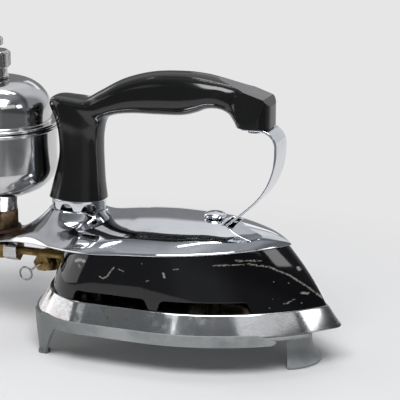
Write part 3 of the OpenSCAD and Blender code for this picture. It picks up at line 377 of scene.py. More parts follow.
# %% Black phenolic moulding
finish, tree, place = start_finish("black_phenolic_moulding")
rub = add(tree, NOISE, {"Vector": place, "Scale": per_mm(18), "Detail": 4})
tint = add(tree, MIX, {0: rub, 6: "#050505", 7: "#0e0d0c"}, data_type="RGBA")
gloss = add(tree, RANGE, {"Value": rub, "From Min": 0.3, "From Max": 0.7, "To Min": 0.11, "To Max": 0.17})
stretch = add(tree, "ShaderNodeMapping", {"Vector": place, "Scale": (1.0, 20.0, 6.0)})
scuff = add(tree, NOISE, {"Vector": stretch, "Scale": per_mm(7), "Detail": 3})
dent = add(tree, BUMP, {"Height": scuff, "Strength": 0.004, "Distance": 0.0002})
keep_finish("handle", finish, {"Base Color": tint, "Roughness": gloss, "Normal": dent, "IOR": 1.60})

# %% [markdown]
# ## Grey stove paint
# The stand is pressed sheet with a brushed stove paint, a flat neutral grey. It is rubbed lighter in
# places, a second noise lays darker stains on it, and its colour is darker towards the rear. A fine grain
# keeps it from looking like plastic; real grit is finer than a pixel, so it is drawn at nine tenths of a
# millimetre.

# %% Grey stove paint
finish, tree, place = start_finish("grey_stove_paint")
rub = add(tree, NOISE, {"Vector": place, "Scale": per_mm(22), "Detail": 6, "Roughness": 0.6})
light = add(tree, RANGE, {"Value": rub, "From Min": 0.35, "From Max": 0.65})
tint = add(tree, MIX, {0: light, 6: "#85898a", 7: "#a3a6a5"}, data_type="RGBA")
soot = add(tree, NOISE, {"Vector": place, "Scale": per_mm(7), "Detail": 6, "Roughness": 0.7})
dark = add(tree, RANGE, {"Value": soot, "From Min": 0.56, "From Max": 0.76, "To Max": 0.55})
tone = add(tree, MIX, {0: dark, 6: tint, 7: "#5f6362"}, data_type="RGBA")
axes = add(tree, "ShaderNodeSeparateXYZ", {0: place})
# The colour is darker towards the rear of the stand.
rear = add(tree, RANGE, {"Value": axes.outputs["X"], "From Min": -0.040, "From Max": 0.005,
                         "To Min": 0.8, "To Max": 0.0})
darker_rear = add(tree, MIX, {0: rear, 6: tone, 7: "#565a5a"}, data_type="RGBA")
grain = add(tree, NOISE, {"Vector": place, "Scale": per_mm(0.9), "Detail": 2})
dent = add(tree, BUMP, {"Height": grain, "Strength": 0.15, "Distance": 0.0002})
keep_finish("stand", finish, {"Base Color": darker_rear, "Normal": dent, "Roughness": 0.45})

# %% [markdown]
# ## Brass, steel, iron, fibre and rubber
# The small fittings are dull brass, brass browned by heat, plain turned steel, a rough casting and two
# soft washers. They share one recipe: a noise runs from a pale to a deep tone and from a smooth to a rough
# surface, at a blotch size of a few millimetres that suits each material. A solid that is made of it
# stands for each one.

# %% Brass, steel, iron, fibre and rubber
SMALL = {
    "packing_nut": ("brass_dull", "#9a8250", "#5f4d2b", 1.0, 0.25, 0.45, 4),
    "stem_nut": ("brass_heat_browned", "#6a5844", "#392d22", 1.0, 0.35, 0.55, 5),
    "strap_screw": ("steel_turned", "#c3c3c1", "#8f8f8d", 1.0, 0.22, 0.40, 3),
    "burner": ("iron_cast", "#3a3836", "#1f1e1d", 1.0, 0.60, 0.80, 2),
    "stem_washer": ("fibre_pressed", "#4f3527", "#2f1f17", 0.0, 0.70, 0.90, 1.5),
    "filler_seal": ("rubber_nitrile", "#262626", "#161616", 0.0, 0.65, 0.85, 2),
}
for solid, (name, pale, deep, metal, smooth, rough, size) in SMALL.items():
    finish, tree, place = start_finish(name)
    blot = add(tree, NOISE, {"Vector": place, "Scale": per_mm(size), "Detail": 5, "Roughness": 0.6})
    part = add(tree, RANGE, {"Value": blot, "From Min": 0.35, "From Max": 0.68})
    tint = add(tree, MIX, {0: part, 6: pale, 7: deep}, data_type="RGBA")
    gloss = add(tree, RANGE, {"Value": part, "To Min": smooth, "To Max": rough})
    dent = add(tree, BUMP, {"Height": blot, "Strength": 0.12, "Distance": 0.0002})
    keep_finish(solid, finish, {"Base Color": tint, "Roughness": gloss, "Normal": dent, "Metallic": metal})
print("finishes:", sorted(finish.name for finish in finishes.values()))

# %% [markdown]
# ## Finish the solids
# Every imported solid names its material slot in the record, so the finishes go on by name. The solids that
# a smooth piece covers later are hidden, but they keep a finish all the same.

# %% Finish the solids
for name, slot in slot_of.items():
    solid = frame["nodes"][name]
    if not solid.material_slots:
        solid.data.materials.append(None)
    for holder in solid.material_slots:
        holder.material = finishes[slot]
print("solids with a finish:", len(slot_of))

# %% [markdown]
# ## From a bmesh to a piece
# Every skin below is drawn in bench millimetres. This helper takes it to the table, turns its faces
# outward, shades it smooth with creases kept, gives it a finish, lets it ride on its body and hides the
# solid it covers.


# %% Settle a piece
def settle(bm, name, stands_for, body="iron", crease=40):
    """The finished piece, with its place in its mesh and its object at the origin."""
    slot = slot_of[stands_for[0]]
    bmesh.ops.recalc_face_normals(bm, faces=bm.faces)
    bmesh.ops.transform(bm, matrix=BENCH, verts=bm.verts)
    mesh = bpy.data.meshes.new(name)
    bm.to_mesh(mesh)
    bm.free()
    mesh.shade_smooth()
    mesh.set_sharp_from_angle(angle=math.radians(crease))
    mesh.materials.append(finishes[slot])
    piece = bpy.data.objects.new(name, mesh)
    bpy.context.scene.collection.objects.link(piece)
    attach(piece, body)
    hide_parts(*stands_for)
    print(name, "faces:", len(mesh.polygons))
    return piece


def thicken(piece, wall, offset=-1.0):
    """A live wall of this many millimetres, inward from the drawn face or to both sides of it."""
    sheet = piece.modifiers.new("wall", "SOLIDIFY")
    sheet.thickness = wall / 1000
    sheet.offset = offset
    sheet.use_even_offset = True


def soften(piece, width, segments=2, angle=50):
    """Live rounding of the edges that turn sharper than the angle."""
    edge = piece.modifiers.new("edge", "BEVEL")
    edge.width = width / 1000
    edge.segments = segments
    edge.limit_method = "ANGLE"
    edge.angle_limit = math.radians(angle)
    even(piece)


def even(piece):
    """Live normals that follow the large faces, so that a flat stays flat beside a rounded edge."""
    flat = piece.modifiers.new("even_light", "WEIGHTED_NORMAL")
    flat.keep_sharp = True


# %% [markdown]
# ## Rings, chains and skins
# Most forms here are sections at several places along the piece. A section is a closed ring or an open
# chain of edges, and bridging each one to the next makes the skin. Turned forms are a profile that is
# spun, and a plane saws what needs a straight edge.


# %% Rings, chains and skins
def once(parts):
    """Each part once, in the order given, as a plain set would not keep it."""
    return list(dict.fromkeys(parts))


def ring(bm, points):
    """A closed loop of edges through these points, started from a circle."""
    loop = bmesh.ops.create_circle(bm, cap_ends=False, radius=1.0, segments=len(points))["verts"]
    for vert, point in zip(loop, points):
        vert.co = point
    return once(edge for vert in loop for edge in vert.link_edges)


def chain(bm, points):
    """An open line of edges through these points."""
    verts = [bm.verts.new(point) for point in points]
    return [bm.edges.new(pair) for pair in zip(verts, verts[1:])]


def skin(bm, loops, ends=False):
    """Faces between each loop and the next, and if asked over both ends."""
    for first, second in zip(loops, loops[1:]):
        bmesh.ops.bridge_loops(bm, edges=first + second)
    for end in (loops[0], loops[-1]) if ends else ():
        bmesh.ops.edgeloop_fill(bm, edges=end)


def pick(geom, kind):
    """The parts of one kind among those that an operator gives back."""
    return [part for part in geom if isinstance(part, kind)]


def saw(bm, spot, way, faces=None, **settings):
    """Cuts these faces, or all of them, along a plane, and gives the edges of the cut."""
    faces = bm.faces[:] if faces is None else faces
    parts = once(part for face in faces for part in (*face.verts, *face.edges))
    cut = bmesh.ops.bisect_plane(bm, geom=parts + faces, plane_co=spot, plane_no=way, **settings)
    return pick(cut["geom_cut"], bmesh.types.BMEdge)


def lathe(bm, profile, x=TANK_X, steps=96, start=0, turn=360):
    """A profile of radius and height, spun about the upright axis at x."""
    c, s = math.cos(math.radians(start)), math.sin(math.radians(start))
    edges = chain(bm, [(x + r * c, r * s, z) for r, z in profile])
    verts = once(vert for edge in edges for vert in edge.verts)
    bmesh.ops.spin(bm, geom=verts + edges, cent=(x, 0, 0), axis=(0, 0, 1), angle=math.radians(turn),
                   steps=steps, use_merge=turn == 360)
    bmesh.ops.remove_doubles(bm, verts=bm.verts, dist=0.0005)


def spread(count, shift=0):
    """Angles at even steps round a circle."""
    return [2 * math.pi * (k + shift) / count for k in range(count)]


def sweep(cx, cz, rx, rz, start, end, count):
    """Points along an elliptic arc from start to end degrees."""
    turns = [math.radians(start + (end - start) * k / count) for k in range(count + 1)]
    return [(cx + rx * math.cos(a), cz + rz * math.sin(a)) for a in turns]


print("points in a quarter turn:", len(sweep(0, 0, 1, 1, 0, 90, 12)))

# %% [markdown]
# ## The iron's outline
# The sole plate, the shell and the stand share one outline: a nose, a long side arc, a straight run, a
# rear corner and a wide rear arc, each tangent to the next. One function draws it at any inset, always
# with the same number of points, so that loops at different heights can be bridged without a twist.

# %% The iron's outline
NOSE_POINTS, SIDE_POINTS, RUN_POINTS, CORNER_POINTS, REAR_POINTS = 12, 150, 50, 70, 24


def iron_outline(inset, tip=95.0, half=54.0, wide=-12.0, rear=-94.0, rear_r=72.0, corner_r=44.0, nose_r=6.0):
    """Points round the iron, moved inward by the inset."""
    side_r = ((tip - wide) ** 2 + half ** 2) / (2 * half)
    drop = side_r - half
    nose = max(nose_r - inset / 2, 1.0)
    nose_x = wide + math.sqrt((side_r - inset - nose) ** 2 - drop ** 2)
    nose_turn = math.degrees(math.atan2(drop, nose_x - wide))
    yc = half - corner_r
    dx = math.sqrt((rear_r - corner_r) ** 2 - yc ** 2)
    rear_x = rear + rear_r
    rear_turn = 180 - math.degrees(math.atan2(yc, dx))
    left = sweep(nose_x, 0, nose, nose, 0, nose_turn, NOSE_POINTS)
    left += sweep(wide, -drop, side_r - inset, side_r - inset, nose_turn, 90, SIDE_POINTS)[1:]
    left += [(wide + (rear_x - dx - wide) * k / RUN_POINTS, half - inset) for k in range(1, RUN_POINTS)]
    left += sweep(rear_x - dx, yc, corner_r - inset, corner_r - inset, 90, rear_turn, CORNER_POINTS)
    left += sweep(rear_x, 0, rear_r - inset, rear_r - inset, rear_turn, 180, REAR_POINTS)[1:]
    return left + [(x, -y) for x, y in left[-2:0:-1]]


def level(points, z):
    """The same points at one height."""
    return [(x, y, z) for x, y in points]


print("outline points:", len(iron_outline(0)))

# %% [markdown]
# ## Stand
# The trivet is one sheet of pressed metal: a ledge that the iron rests on, a low rim round the sides, two
# rear legs that run down from the rim and curl into small toes, and a flared front foot. It could be one
# folded net, but four sheets that meet are easier to draw. They share one thickness, so one live wall
# serves them all.

# %% Stand
STAND_H, STAND_T = 23.5, 1.6
REST_GAP, GUARD_GAP = 0.05, 0.5
RIM_UP, RIM_DOWN, RIM_START, RIM_END, RIM_SLANT, RIM_DIP = 2.3, 4.5, -80.0, 64.5, 10.0, 4.6
RIM_CORNER, RIM_LIFT, RIM_ROWS = 2.5, 1.9, 4
LEG_X, LEG_Y, LEG_TURN, LEG_TOP, LEG_FOOT, LEG_LAP, LEG_CURVE = -48.153, 10.0, 132.0, 17.0, 4.5, 0.9, 0.72
TOE_R, TOE_REACH = 3.6, 44.5
LEDGE_IN, LEDGE_FRONT, LEDGE_END = 15.0, 43.0, 79.8
FOOT_X, FOOT_TURN = 59.4, 68
LEDGE_Z = -REST_GAP - STAND_T / 2
FOOT = [(15.2, LEDGE_Z), (15.2, -6), (15.2, -10.5), (15.4, -13), (16.0, -15.4), (17.0, -17.8), (18.4, -20.1),
        (20.1, -21.8), (21.6, -22.55)]


def rim_span(x, y):
    """Lower and upper height of the wall at a point of the outline, or nothing where there is no wall."""
    low, high = [], []
    if RIM_START <= x <= RIM_END:
        ahead = max(x - RIM_END + RIM_SLANT, 0) / RIM_SLANT
        low.append(-RIM_DOWN + RIM_LIFT * max(x - RIM_END + RIM_CORNER, 0) / RIM_CORNER)
        high.append(min(RIM_UP - RIM_DIP * ahead, x - RIM_START))
    turn = math.atan2(y - LEG_Y, x - LEG_X) - math.radians(LEG_TURN)
    across = abs(math.hypot(x - LEG_X, y - LEG_Y) * math.sin(turn))
    if x < LEG_X and across < LEG_TOP:
        climb = max((across - LEG_FOOT) / (LEG_TOP - LEG_FOOT), 0) ** LEG_CURVE
        low.append(-STAND_H + (STAND_H - LEG_LAP) * climb)
        high.append(-REST_GAP)
    return (min(low), max(high)) if low else None


bm = bmesh.new()
outer = iron_outline(-GUARD_GAP - STAND_T / 2)
wall = [(x, y, rim_span(x, y)) for x, y in outer if y > 0]
wall = [(x, y, span) for x, y, span in wall if span]
skin(bm, [chain(bm, [(x, y, low + (high - low) * k / RIM_ROWS) for x, y, (low, high) in wall])
          for k in range(RIM_ROWS + 1)])
toe = bmesh.ops.create_circle(bm, cap_ends=True, radius=TOE_R, segments=32)["verts"]
toe_turn = math.radians(LEG_TURN)
toe_spot = (LEG_X + TOE_REACH * math.cos(toe_turn), LEG_Y + TOE_REACH * math.sin(toe_turn),
            STAND_T / 2 - STAND_H)
bmesh.ops.translate(bm, verts=toe, vec=toe_spot)
bmesh.ops.mirror(bm, geom=bm.verts[:] + bm.edges[:] + bm.faces[:], matrix=Matrix(), merge_dist=-1, axis="Y")
skin(bm, [ring(bm, level(outer, LEDGE_Z)),
          ring(bm, [(min(x, LEDGE_FRONT), y, LEDGE_Z) for x, y in iron_outline(LEDGE_IN)])])
ledge = [f for f in bm.faces if abs(f.calc_center_median().z - LEDGE_Z) < 0.001]
saw(bm, (LEDGE_END, 0, 0), (1, 0, 0), ledge, clear_outer=True)
lathe(bm, FOOT, x=FOOT_X, steps=48, start=-FOOT_TURN, turn=2 * FOOT_TURN)
stand = settle(bm, "stand_pressing_paint", ["stand"], body="stand", crease=50)
thicken(stand, STAND_T, offset=0.0)
soften(stand, 0.5, segments=3)

# %% [markdown]
# ## Sole plate
# A heavy plate with bevelled sides, satin nickel worn along its length. Stacked outlines give the bevel,
# and close pairs of them round the lower and the upper edge.

# %% Sole plate
SOLE_T = 12.3
SOLE_STEPS = [(1.6, 0), (0.8, 0.02), (0.35, 0.14), (0.08, 0.42), (0, 0.85), (6.65, 11.45), (6.9, 11.85),
              (7.2, 12.15), (7.7, SOLE_T)]
bm = bmesh.new()
skin(bm, [ring(bm, level(iron_outline(inset), z)) for inset, z in SOLE_STEPS], ends=True)
even(settle(bm, "sole_plate_nickel", ["sole_plate"], crease=50))

# %% [markdown]
# ## Shape of the cover
# One pressed sheet rises from the tongue under the tank to a neck below the handle, and on to a crest with
# a gentle crown and a tightly rolled edge. The height of each point is the higher of that crown and the
# bell of the neck, blended where they meet.

# %% Shape of the cover
COVER_TIP, COVER_HALF, COVER_WIDE, WAIST_X = 62.5, 44.0, -20.0, -40.0
TONGUE_H, TONGUE_R, TONGUE_IN, CREST_X, CREST_H, NECK_H = 36.0, 16.0, -122.0, 15.0, 58.2, 56.0
COLLAR_X, COLLAR_AX, COLLAR_AY = -73.5, 17.4, 13.3
LEVEL_X, NOSE_RUN, CREST_FALL, CREST_POWER = CREST_X - 25, 16.0, 8.0, 1.5
EDGE_H, EDGE_DROP, EDGE_POWER = 46.5, 13.9, 1.9
CROWN_FALL, CROWN_POWER, ROLL_POWER = 0.80, 2.1, 6
TAIL_POWER, TAIL_ROOT, TANK_SLOPE = 2.2, 0.6, 1.2
NECK_FALL, NECK_RATE, NECK_FLARE, NECK_BLEND, NECK_EASE = 14, 1.87, 3.2, 4, 0.5


def cover_half(x):
    """Half width of the cover at x."""
    side_r = ((COVER_TIP - COVER_WIDE) ** 2 + COVER_HALF ** 2) / (2 * COVER_HALF)
    if x > COVER_WIDE:
        return math.sqrt(max(side_r ** 2 - (x - COVER_WIDE) ** 2, 0)) - side_r + COVER_HALF
    if x > WAIST_X:
        return COVER_HALF
    if x > TONGUE_IN:
        turn = math.pi * (WAIST_X - x) / (WAIST_X - TONGUE_IN)
        return TONGUE_R + (COVER_HALF - TONGUE_R) * (1 + math.cos(turn)) / 2
    return math.sqrt(max(TONGUE_R ** 2 - min(x - TANK_X, 0) ** 2, 0))


def cover_edge(x):
    """Height of the cover's lower edge at x."""
    share = (COVER_TIP - max(x, TONGUE_IN)) / (COVER_TIP - TONGUE_IN)
    return EDGE_H - EDGE_DROP * max(share, 0) ** EDGE_POWER


def crown(u):
    """Section of the cover: a gentle crown that ends in a rolled edge."""
    return (1 - CROWN_FALL * abs(u) ** CROWN_POWER) * math.sqrt(max(1 - abs(u) ** ROLL_POWER, 0))


def cover_height(x, u):
    """Upper face of the cover at x and at the share u of its half width."""
    low = cover_edge(x)
    rise = min(max((x - TONGUE_IN) / (LEVEL_X - TONGUE_IN), 0), 1)
    crest = TONGUE_H + (CREST_H - TONGUE_H) * math.sin(math.pi / 2 * rise)
    crest -= CREST_FALL * max((x - CREST_X) / (COVER_TIP - CREST_X), 0) ** CREST_POWER
    end = 1.0
    if x < TANK_X:
        end = max(1 - ((TANK_X - x) / TONGUE_R) ** TAIL_POWER, 0) ** TAIL_ROOT
    elif x > COVER_TIP - NOSE_RUN:
        end = math.sqrt(max(1 - ((x - COVER_TIP + NOSE_RUN) / NOSE_RUN) ** 2, 0))
    plain = low + (crest - low) * crown(u) * end
    if x > CREST_X:
        return plain
    y = u * cover_half(x)
    away = max(math.hypot((x - COLLAR_X) / COLLAR_AX, y / COLLAR_AY) - 1, 0)
    bell = NECK_H - NECK_FALL * (1 - math.exp(-NECK_RATE * away)) - NECK_FLARE * away ** 2
    apart = plain - bell
    both = (plain + bell + math.sqrt(apart ** 2 + NECK_BLEND)) / 2 - NECK_EASE * math.exp(-abs(apart))
    raised = plain + (min(both, max(NECK_H, plain)) - plain) * (1 - u ** 4)
    return min(raised, TONGUE_H + TANK_SLOPE * max(math.hypot(x - TANK_X, y) - TONGUE_R, 0))


print("crest and edge at the cap nut:", round(cover_height(CREST_X, 0), 2), round(cover_edge(CREST_X), 2))

# %% [markdown]
# ## Top cover
# The sheet starts as a grid whose long way runs along the iron. Each point moves to its place on the
# cover, and the points lie closer at the edges, where the sheet turns most. A press draws the bell of the
# neck in one flowing curve, so the heights outside the collar are smoothed. Four cuts mark the slot for
# the strap, and a live wall gives the sheet its thickness.

# %% Top cover
SLOT_X, SLOT_BACK, SLOT_FRONT, SLOT_HALF = 27.4, 4.8, 1.8, 9.8
COVER_WALL, GRID_IN, EDGE_CROWD = 1.2, 0.05, 0.45
BELL_BACK, BELL_FRONT, BELL_CLEAR, BELL_PASSES = -106, -30, 1.04, 70
bm = bmesh.new()
bmesh.ops.create_grid(bm, x_segments=200, y_segments=96, size=1.0)
grid_rear, grid_front = TANK_X - TONGUE_R + GRID_IN, COVER_TIP - GRID_IN
for vert in bm.verts:
    s, w = (vert.co.x + 1) / 2, vert.co.y
    x = grid_rear + (grid_front - grid_rear) * (s / 2 + (1 - math.cos(math.pi * s)) / 4)
    u = (1 - EDGE_CROWD) * w + EDGE_CROWD * math.sin(math.pi / 2 * w)
    vert.co = (x, u * cover_half(x), cover_height(x, u))
bell = [v for v in bm.verts if BELL_BACK < v.co.x < BELL_FRONT and not v.is_boundary
        and math.hypot((v.co.x - COLLAR_X) / COLLAR_AX, v.co.y / COLLAR_AY) > BELL_CLEAR]
for _ in range(BELL_PASSES):
    bmesh.ops.smooth_vert(bm, verts=bell, factor=0.5, use_axis_z=True)
for spot, way in (((SLOT_X - SLOT_BACK, 0, 0), (1, 0, 0)), ((SLOT_X + SLOT_FRONT, 0, 0), (1, 0, 0)),
                  ((0, -SLOT_HALF, 0), (0, 1, 0)), ((0, SLOT_HALF, 0), (0, 1, 0))):
    saw(bm, spot, way)
gap = [f for f in bm.faces if SLOT_X - SLOT_BACK < f.calc_center_median().x < SLOT_X + SLOT_FRONT
       and abs(f.calc_center_median().y) < SLOT_HALF]
bmesh.ops.delete(bm, geom=gap, context="FACES")
cover = settle(bm, "top_cover_chrome", ["top_cover"], crease=60)
thicken(cover, COVER_WALL)

# %% [markdown]
# ## Body shell
# The enamelled skirt leans in from the ledge of the sole plate to the edge of the cover and swells a
# little between. Its lower edge has two air windows on each side. The edge itself follows the windows, so
# no cut is needed: each point of the lower loop climbs the skirt until it meets the window's outline.

# %% Body shell
WINDOWS = ((-57.0, -10.0), (-3.0, 48.0))
WINDOW_H, WINDOW_R, WINDOW_RAMP, SKIRT_LAP = 6.5, 4.0, 1.5, 1
SWELL, SHELL_ROWS, SHELL_WALL = 1.4, 40, 1.0
CLIMB_TRIES, CLIMB_STEP, CLIMB_MAX = 14, 0.6, 0.5
LOW_IN, LOW_REAR, LOW_GAP, HIGH_GAP = 8.0, -93.0, 0.05, 0.6
HIGH_EDGE = {"tip": 62.0, "half": 42.5, "wide": -20.0, "rear": -74.6, "rear_r": 58.0, "corner_r": 32.0}


def window_top(x):
    """Height of the lower edge of the shell at x."""
    top = SOLE_T + WINDOW_H
    for start, end in WINDOWS:
        inner = min(x - start, end - x)
        if inner >= WINDOW_R:
            return top
        if inner >= 0:
            return top - WINDOW_R + math.sqrt(WINDOW_R ** 2 - (WINDOW_R - inner) ** 2)
        if inner > -WINDOW_RAMP:
            foot = SOLE_T - SKIRT_LAP
            return foot + (top - WINDOW_R - foot) * (inner + WINDOW_RAMP) / WINDOW_RAMP
    return SOLE_T


shell_rows = []
for k in range(SHELL_ROWS + 1):
    s = k / SHELL_ROWS
    out = -SWELL * math.sin(math.pi * s)
    low = iron_outline(LOW_IN + out, rear=LOW_REAR)
    high = iron_outline(out, **HIGH_EDGE)
    shell_rows.append([Vector((a[0] + (b[0] - a[0]) * s, a[1] + (b[1] - a[1]) * s,
                               (SOLE_T + LOW_GAP) * (1 - s) + (cover_edge(b[0]) - HIGH_GAP) * s))
                       for a, b in zip(low, high)])


def on_shell(i, s):
    """The point of the shell at one place of the outline and a share of the height."""
    k = min(int(s * SHELL_ROWS), SHELL_ROWS - 1)
    return shell_rows[k][i].lerp(shell_rows[k + 1][i], s * SHELL_ROWS - k)


climbs = []
for i in range(len(shell_rows[0])):
    s = 0.0
    for _ in range(CLIMB_TRIES):
        spot = on_shell(i, s)
        s += CLIMB_STEP * (window_top(spot.x) - spot.z) / (shell_rows[-1][i].z - SOLE_T)
        s = min(max(s, 0), CLIMB_MAX)
    climbs.append(s)
bm = bmesh.new()
skin(bm, [ring(bm, [on_shell(i, s + (1 - s) * k / SHELL_ROWS) for i, s in enumerate(climbs)])
          for k in range(SHELL_ROWS + 1)])
shell = settle(bm, "body_shell_enamel", ["body_shell"], crease=60)

# %% [markdown]
# ## Knocks and painted highlights on the enamel
# The near side has a large chip at the rear, a hooked scratch, long strokes below the cover and a crowd of
# specks at the nose. The last line runs along the nose edge and is a painted highlight of the rounded nose,
# and most of the fine pale strokes are painted reflections as well. Each is a short line of points, in bench
# millimetres along and up the side, with a width. Every point of the shell stores how near it is to one of
# them, and the finish reads that number.

# %% Knocks and painted highlights on the enamel
# The last line, along the nose edge, is a painted highlight of the rounded nose; most fine strokes here are
# painted reflections.
NEAR_KNOCKS_AND_HIGHLIGHTS = [
    (1.1, [(-57.6, 35.0), (-54.2, 36.3), (-50.8, 36.1)]), (0.7, [(-54.6, 33.4), (-53.4, 32.3)]),
    (0.55, [(-31.1, 35.3), (-33, 33), (-34.9, 29.8), (-37.4, 28.1), (-39.9, 29)]),
    (0.5, [(-28, 34.6), (-25, 33.6)]), (0.6, [(-14.1, 39.4)]), (0.9, [(-0.6, 34.8), (0.3, 32.6)]),
    (0.5, [(-10.6, 29.6), (-8.6, 30.1)]), (0.5, [(4.6, 37.4), (7.6, 37.6)]),
    (0.55, [(26.4, 39.8), (34, 39.9), (42, 39.5)]), (0.5, [(37, 42), (50, 40.8)]),
    (0.5, [(43.6, 39.8), (55, 36.9), (65.2, 31.2), (73.6, 24.5), (79.8, 18.8), (83.2, 15.6)]),
    (0.7, [(67.8, 34.6), (69.2, 33.4)]), (0.75, [(72, 21.3), (75, 20.4)]), (0.5, [(58, 29)]),
    (0.5, [(65.2, 27.4)]), (0.5, [(58.4, 20)]), (0.5, [(64, 16.9), (66.4, 16.4)]), (0.55, [(72.9, 15.9)]),
    (0.5, [(57.6, 14.8)]), (0.5, [(66, 17), (69, 18.2)]),
    (0.5, [(64, 44), (71, 35.5), (79, 25), (86.5, 13.5)])]
FAR_KNOCKS = [
    (0.8, [(-44, 34), (-41, 33)]), (0.5, [(-20, 31), (-8, 29.4), (2, 29.8)]), (0.6, [(31, 38), (33, 37)]),
    (0.5, [(40, 34), (54, 30), (66, 22)]), (0.5, [(60, 20)]), (0.5, [(12, 26)]), (0.5, [(70, 28)])]


def to_line(x, z, points):
    """Distance from a place on the side to a short line."""
    here = Vector((x, z))
    if len(points) == 1:
        return (here - Vector(points[0])).length
    best = 1e9
    for a, b in zip(points, points[1:]):
        a, b = Vector(a), Vector(b)
        t = min(max((here - a).dot(b - a) / (b - a).length_squared, 0), 1)
        best = min(best, (here - a.lerp(b, t)).length)
    return best


def mark_depth(spot, width, points):
    """How deep a place lies in a mark, knock and painted highlight alike: full inside it and fading outside,
    and less for a fine one.
    """
    return min(1.25 - 0.75 * to_line(spot.x, spot.z, points) / width, 0.5 + 0.5 * width)


to_bench = BENCH.inverted()
depth = []
for vert in shell.data.vertices:
    spot = to_bench @ vert.co
    marks = NEAR_KNOCKS_AND_HIGHLIGHTS if spot.y < 0 else FAR_KNOCKS
    depth.append(max(mark_depth(spot, width, points) for width, points in marks))
knocks_and_highlights = shell.data.attributes.new("knocks_and_highlights", "FLOAT", "POINT")
knocks_and_highlights.data.foreach_set("value", [max(d, 0) for d in depth])
thicken(shell, SHELL_WALL)
soften(shell, 0.3)
print("points inside a knock:", sum(d > 0.5 for d in depth))

# %% [markdown]
# ## Sections of the handle
# Column, grip and front block are one moulding. The handle is a row of sections, each with an inner and an
# outer point, a width and a squareness. A smooth curve through the rows gives many rings.

# %% Sections of the handle
COL_X, COLLAR_TOP, GRIP_W = -71.0, 62.5, 26.0
HANDLE_ROWS = [
    (15.4, 0, -20.5, 0, 1.02, 2.4), (15.1, 3.5, -19.4, 3.5, 0.97, 2.4),
    (14.4, 10.5, -17.4, 10.5, 0.91, 2.4), (14.0, 19.5, -14.8, 19.5, 0.87, 2.4),
    (13.7, 28.5, -13.2, 29, 0.86, 2.4), (13.9, 37.5, -14.0, 41, 0.88, 2.4),
    (14.7, 43.5, -16.4, 50, 0.92, 2.5), (15.6, 46.5, -19.0, 57.5, 0.92, 2.6),
    (16.9, 48.9, -15, 61.4, 0.92, 2.6), (18.9, 50.6, -5, 61.3, 0.94, 2.5),
    (22.4, 52.1, 4.5, 61.2, 0.95, 2.4), (27.5, 53.4, 14, 66.2, 0.97, 2.3), (37, 54.3, 29, 74.2, 0.98, 2.2),
    (51, 54.7, 47, 79.3, 1, 2.2), (66, 55.5, 66, 80.9, 1, 2.2), (75, 57.8, 79, 80.4, 0.98, 2.2),
    (82, 60.6, 89, 78.8, 0.91, 2.2), (89.5, 60.9, 97, 77.3, 0.82, 2.2), (95.5, 58.6, 104, 76.4, 0.84, 2.3),
    (99.8, 54.2, 109.5, 76, 1.02, 2.6), (103, 50.4, 114, 76, 1.12, 2.9), (111, 48, 119, 76, 1.13, 2.8),
    (124, 48, 125, 76, 1.16, 3.2)]
HANDLE_H, ROWS_H, RING_STEPS = 82, 80.9, 6
RISE = HANDLE_H / ROWS_H


def between(rows, spot):
    """The row at a fractional place, on a smooth curve through all rows."""
    i = min(int(spot), len(rows) - 2)
    t = spot - i
    p0, p1, p2, p3 = (rows[min(max(i + k, 0), len(rows) - 1)] for k in (-1, 0, 1, 2))
    return [0.5 * (2 * b + (c - a) * t + (2 * a - 5 * b + 4 * c - d) * t ** 2
                   + (3 * b - a - 3 * c + d) * t ** 3) for a, b, c, d in zip(p0, p1, p2, p3)]


def power(v, e):
    """A power that keeps the sign."""
    return math.copysign(abs(v) ** e, v)


def handle_ring(row, count=64):
    """Points of one section."""
    in_x, in_z, out_x, out_z, width, square = row
    inner = Vector((COL_X + in_x, 0, COLLAR_TOP + in_z * RISE))
    outer = Vector((COL_X + out_x, 0, COLLAR_TOP + out_z * RISE))
    middle, arm = (inner + outer) / 2, (outer - inner) / 2
    half, e = width * GRIP_W / 2, 2 / square
    return [middle + arm * power(math.cos(t), e) + Vector((0, half * power(math.sin(t), e), 0))
            for t in spread(count, 0.5)]


print("rings of the handle:", (len(HANDLE_ROWS) - 1) * RING_STEPS + 1)

# %% [markdown]
# ## Handle
# Bridging the rings gives the skin. The front block then gets its flat faces with planes, as a pattern
# maker would saw them: an underside, a front, a sloping top, a brow, two cheeks and rounded front corners.
# Each cut is closed, and a live bevel takes the sharpness off.


# %% Handle
def trim(bm, spot, way, ahead_of=None):
    """Cuts away what lies beyond a plane, if asked only ahead of a place, and closes the cut."""
    faces = [f for f in bm.faces if ahead_of is None or f.calc_center_median().x > ahead_of]
    bmesh.ops.edgeloop_fill(bm, edges=saw(bm, spot, way, faces, dist=0.0001, clear_outer=True))


ROW_L, BLOCK_V, RAMP_U, RAMP_V, RAMP_FALL, BROW = 121.3, 52.8, 89.0, 78.7, 0.31, 3.2
CHEEK, CHEEK_V, CHEEK_LEAN, CHEEK_TILT = 10.4, 62, 0.11, 0.2
BLOCK_HALF, BLOCK_ROUND, ROUND_CUTS = 12.2, 9.0, 8
front_x = COL_X + ROW_L
bm = bmesh.new()
last = (len(HANDLE_ROWS) - 1) * RING_STEPS
skin(bm, [ring(bm, handle_ring(between(HANDLE_ROWS, k / RING_STEPS))) for k in range(last + 1)], ends=True)
bmesh.ops.recalc_face_normals(bm, faces=bm.faces)
trim(bm, (front_x, 0, 0), (1, 0, 0))
trim(bm, (0, 0, COLLAR_TOP + BLOCK_V * RISE), (0, 0, -1), ahead_of=COL_X + ROW_L / 2)
trim(bm, (COL_X + RAMP_U, 0, COLLAR_TOP + RAMP_V * RISE), (RAMP_FALL * RISE, 0, 1))
brow_z = COLLAR_TOP + (RAMP_V - RAMP_FALL * (ROW_L - RAMP_U) - BROW) * RISE
trim(bm, (front_x, 0, brow_z), (BROW * (1 + RAMP_FALL) * RISE, 0, BROW))
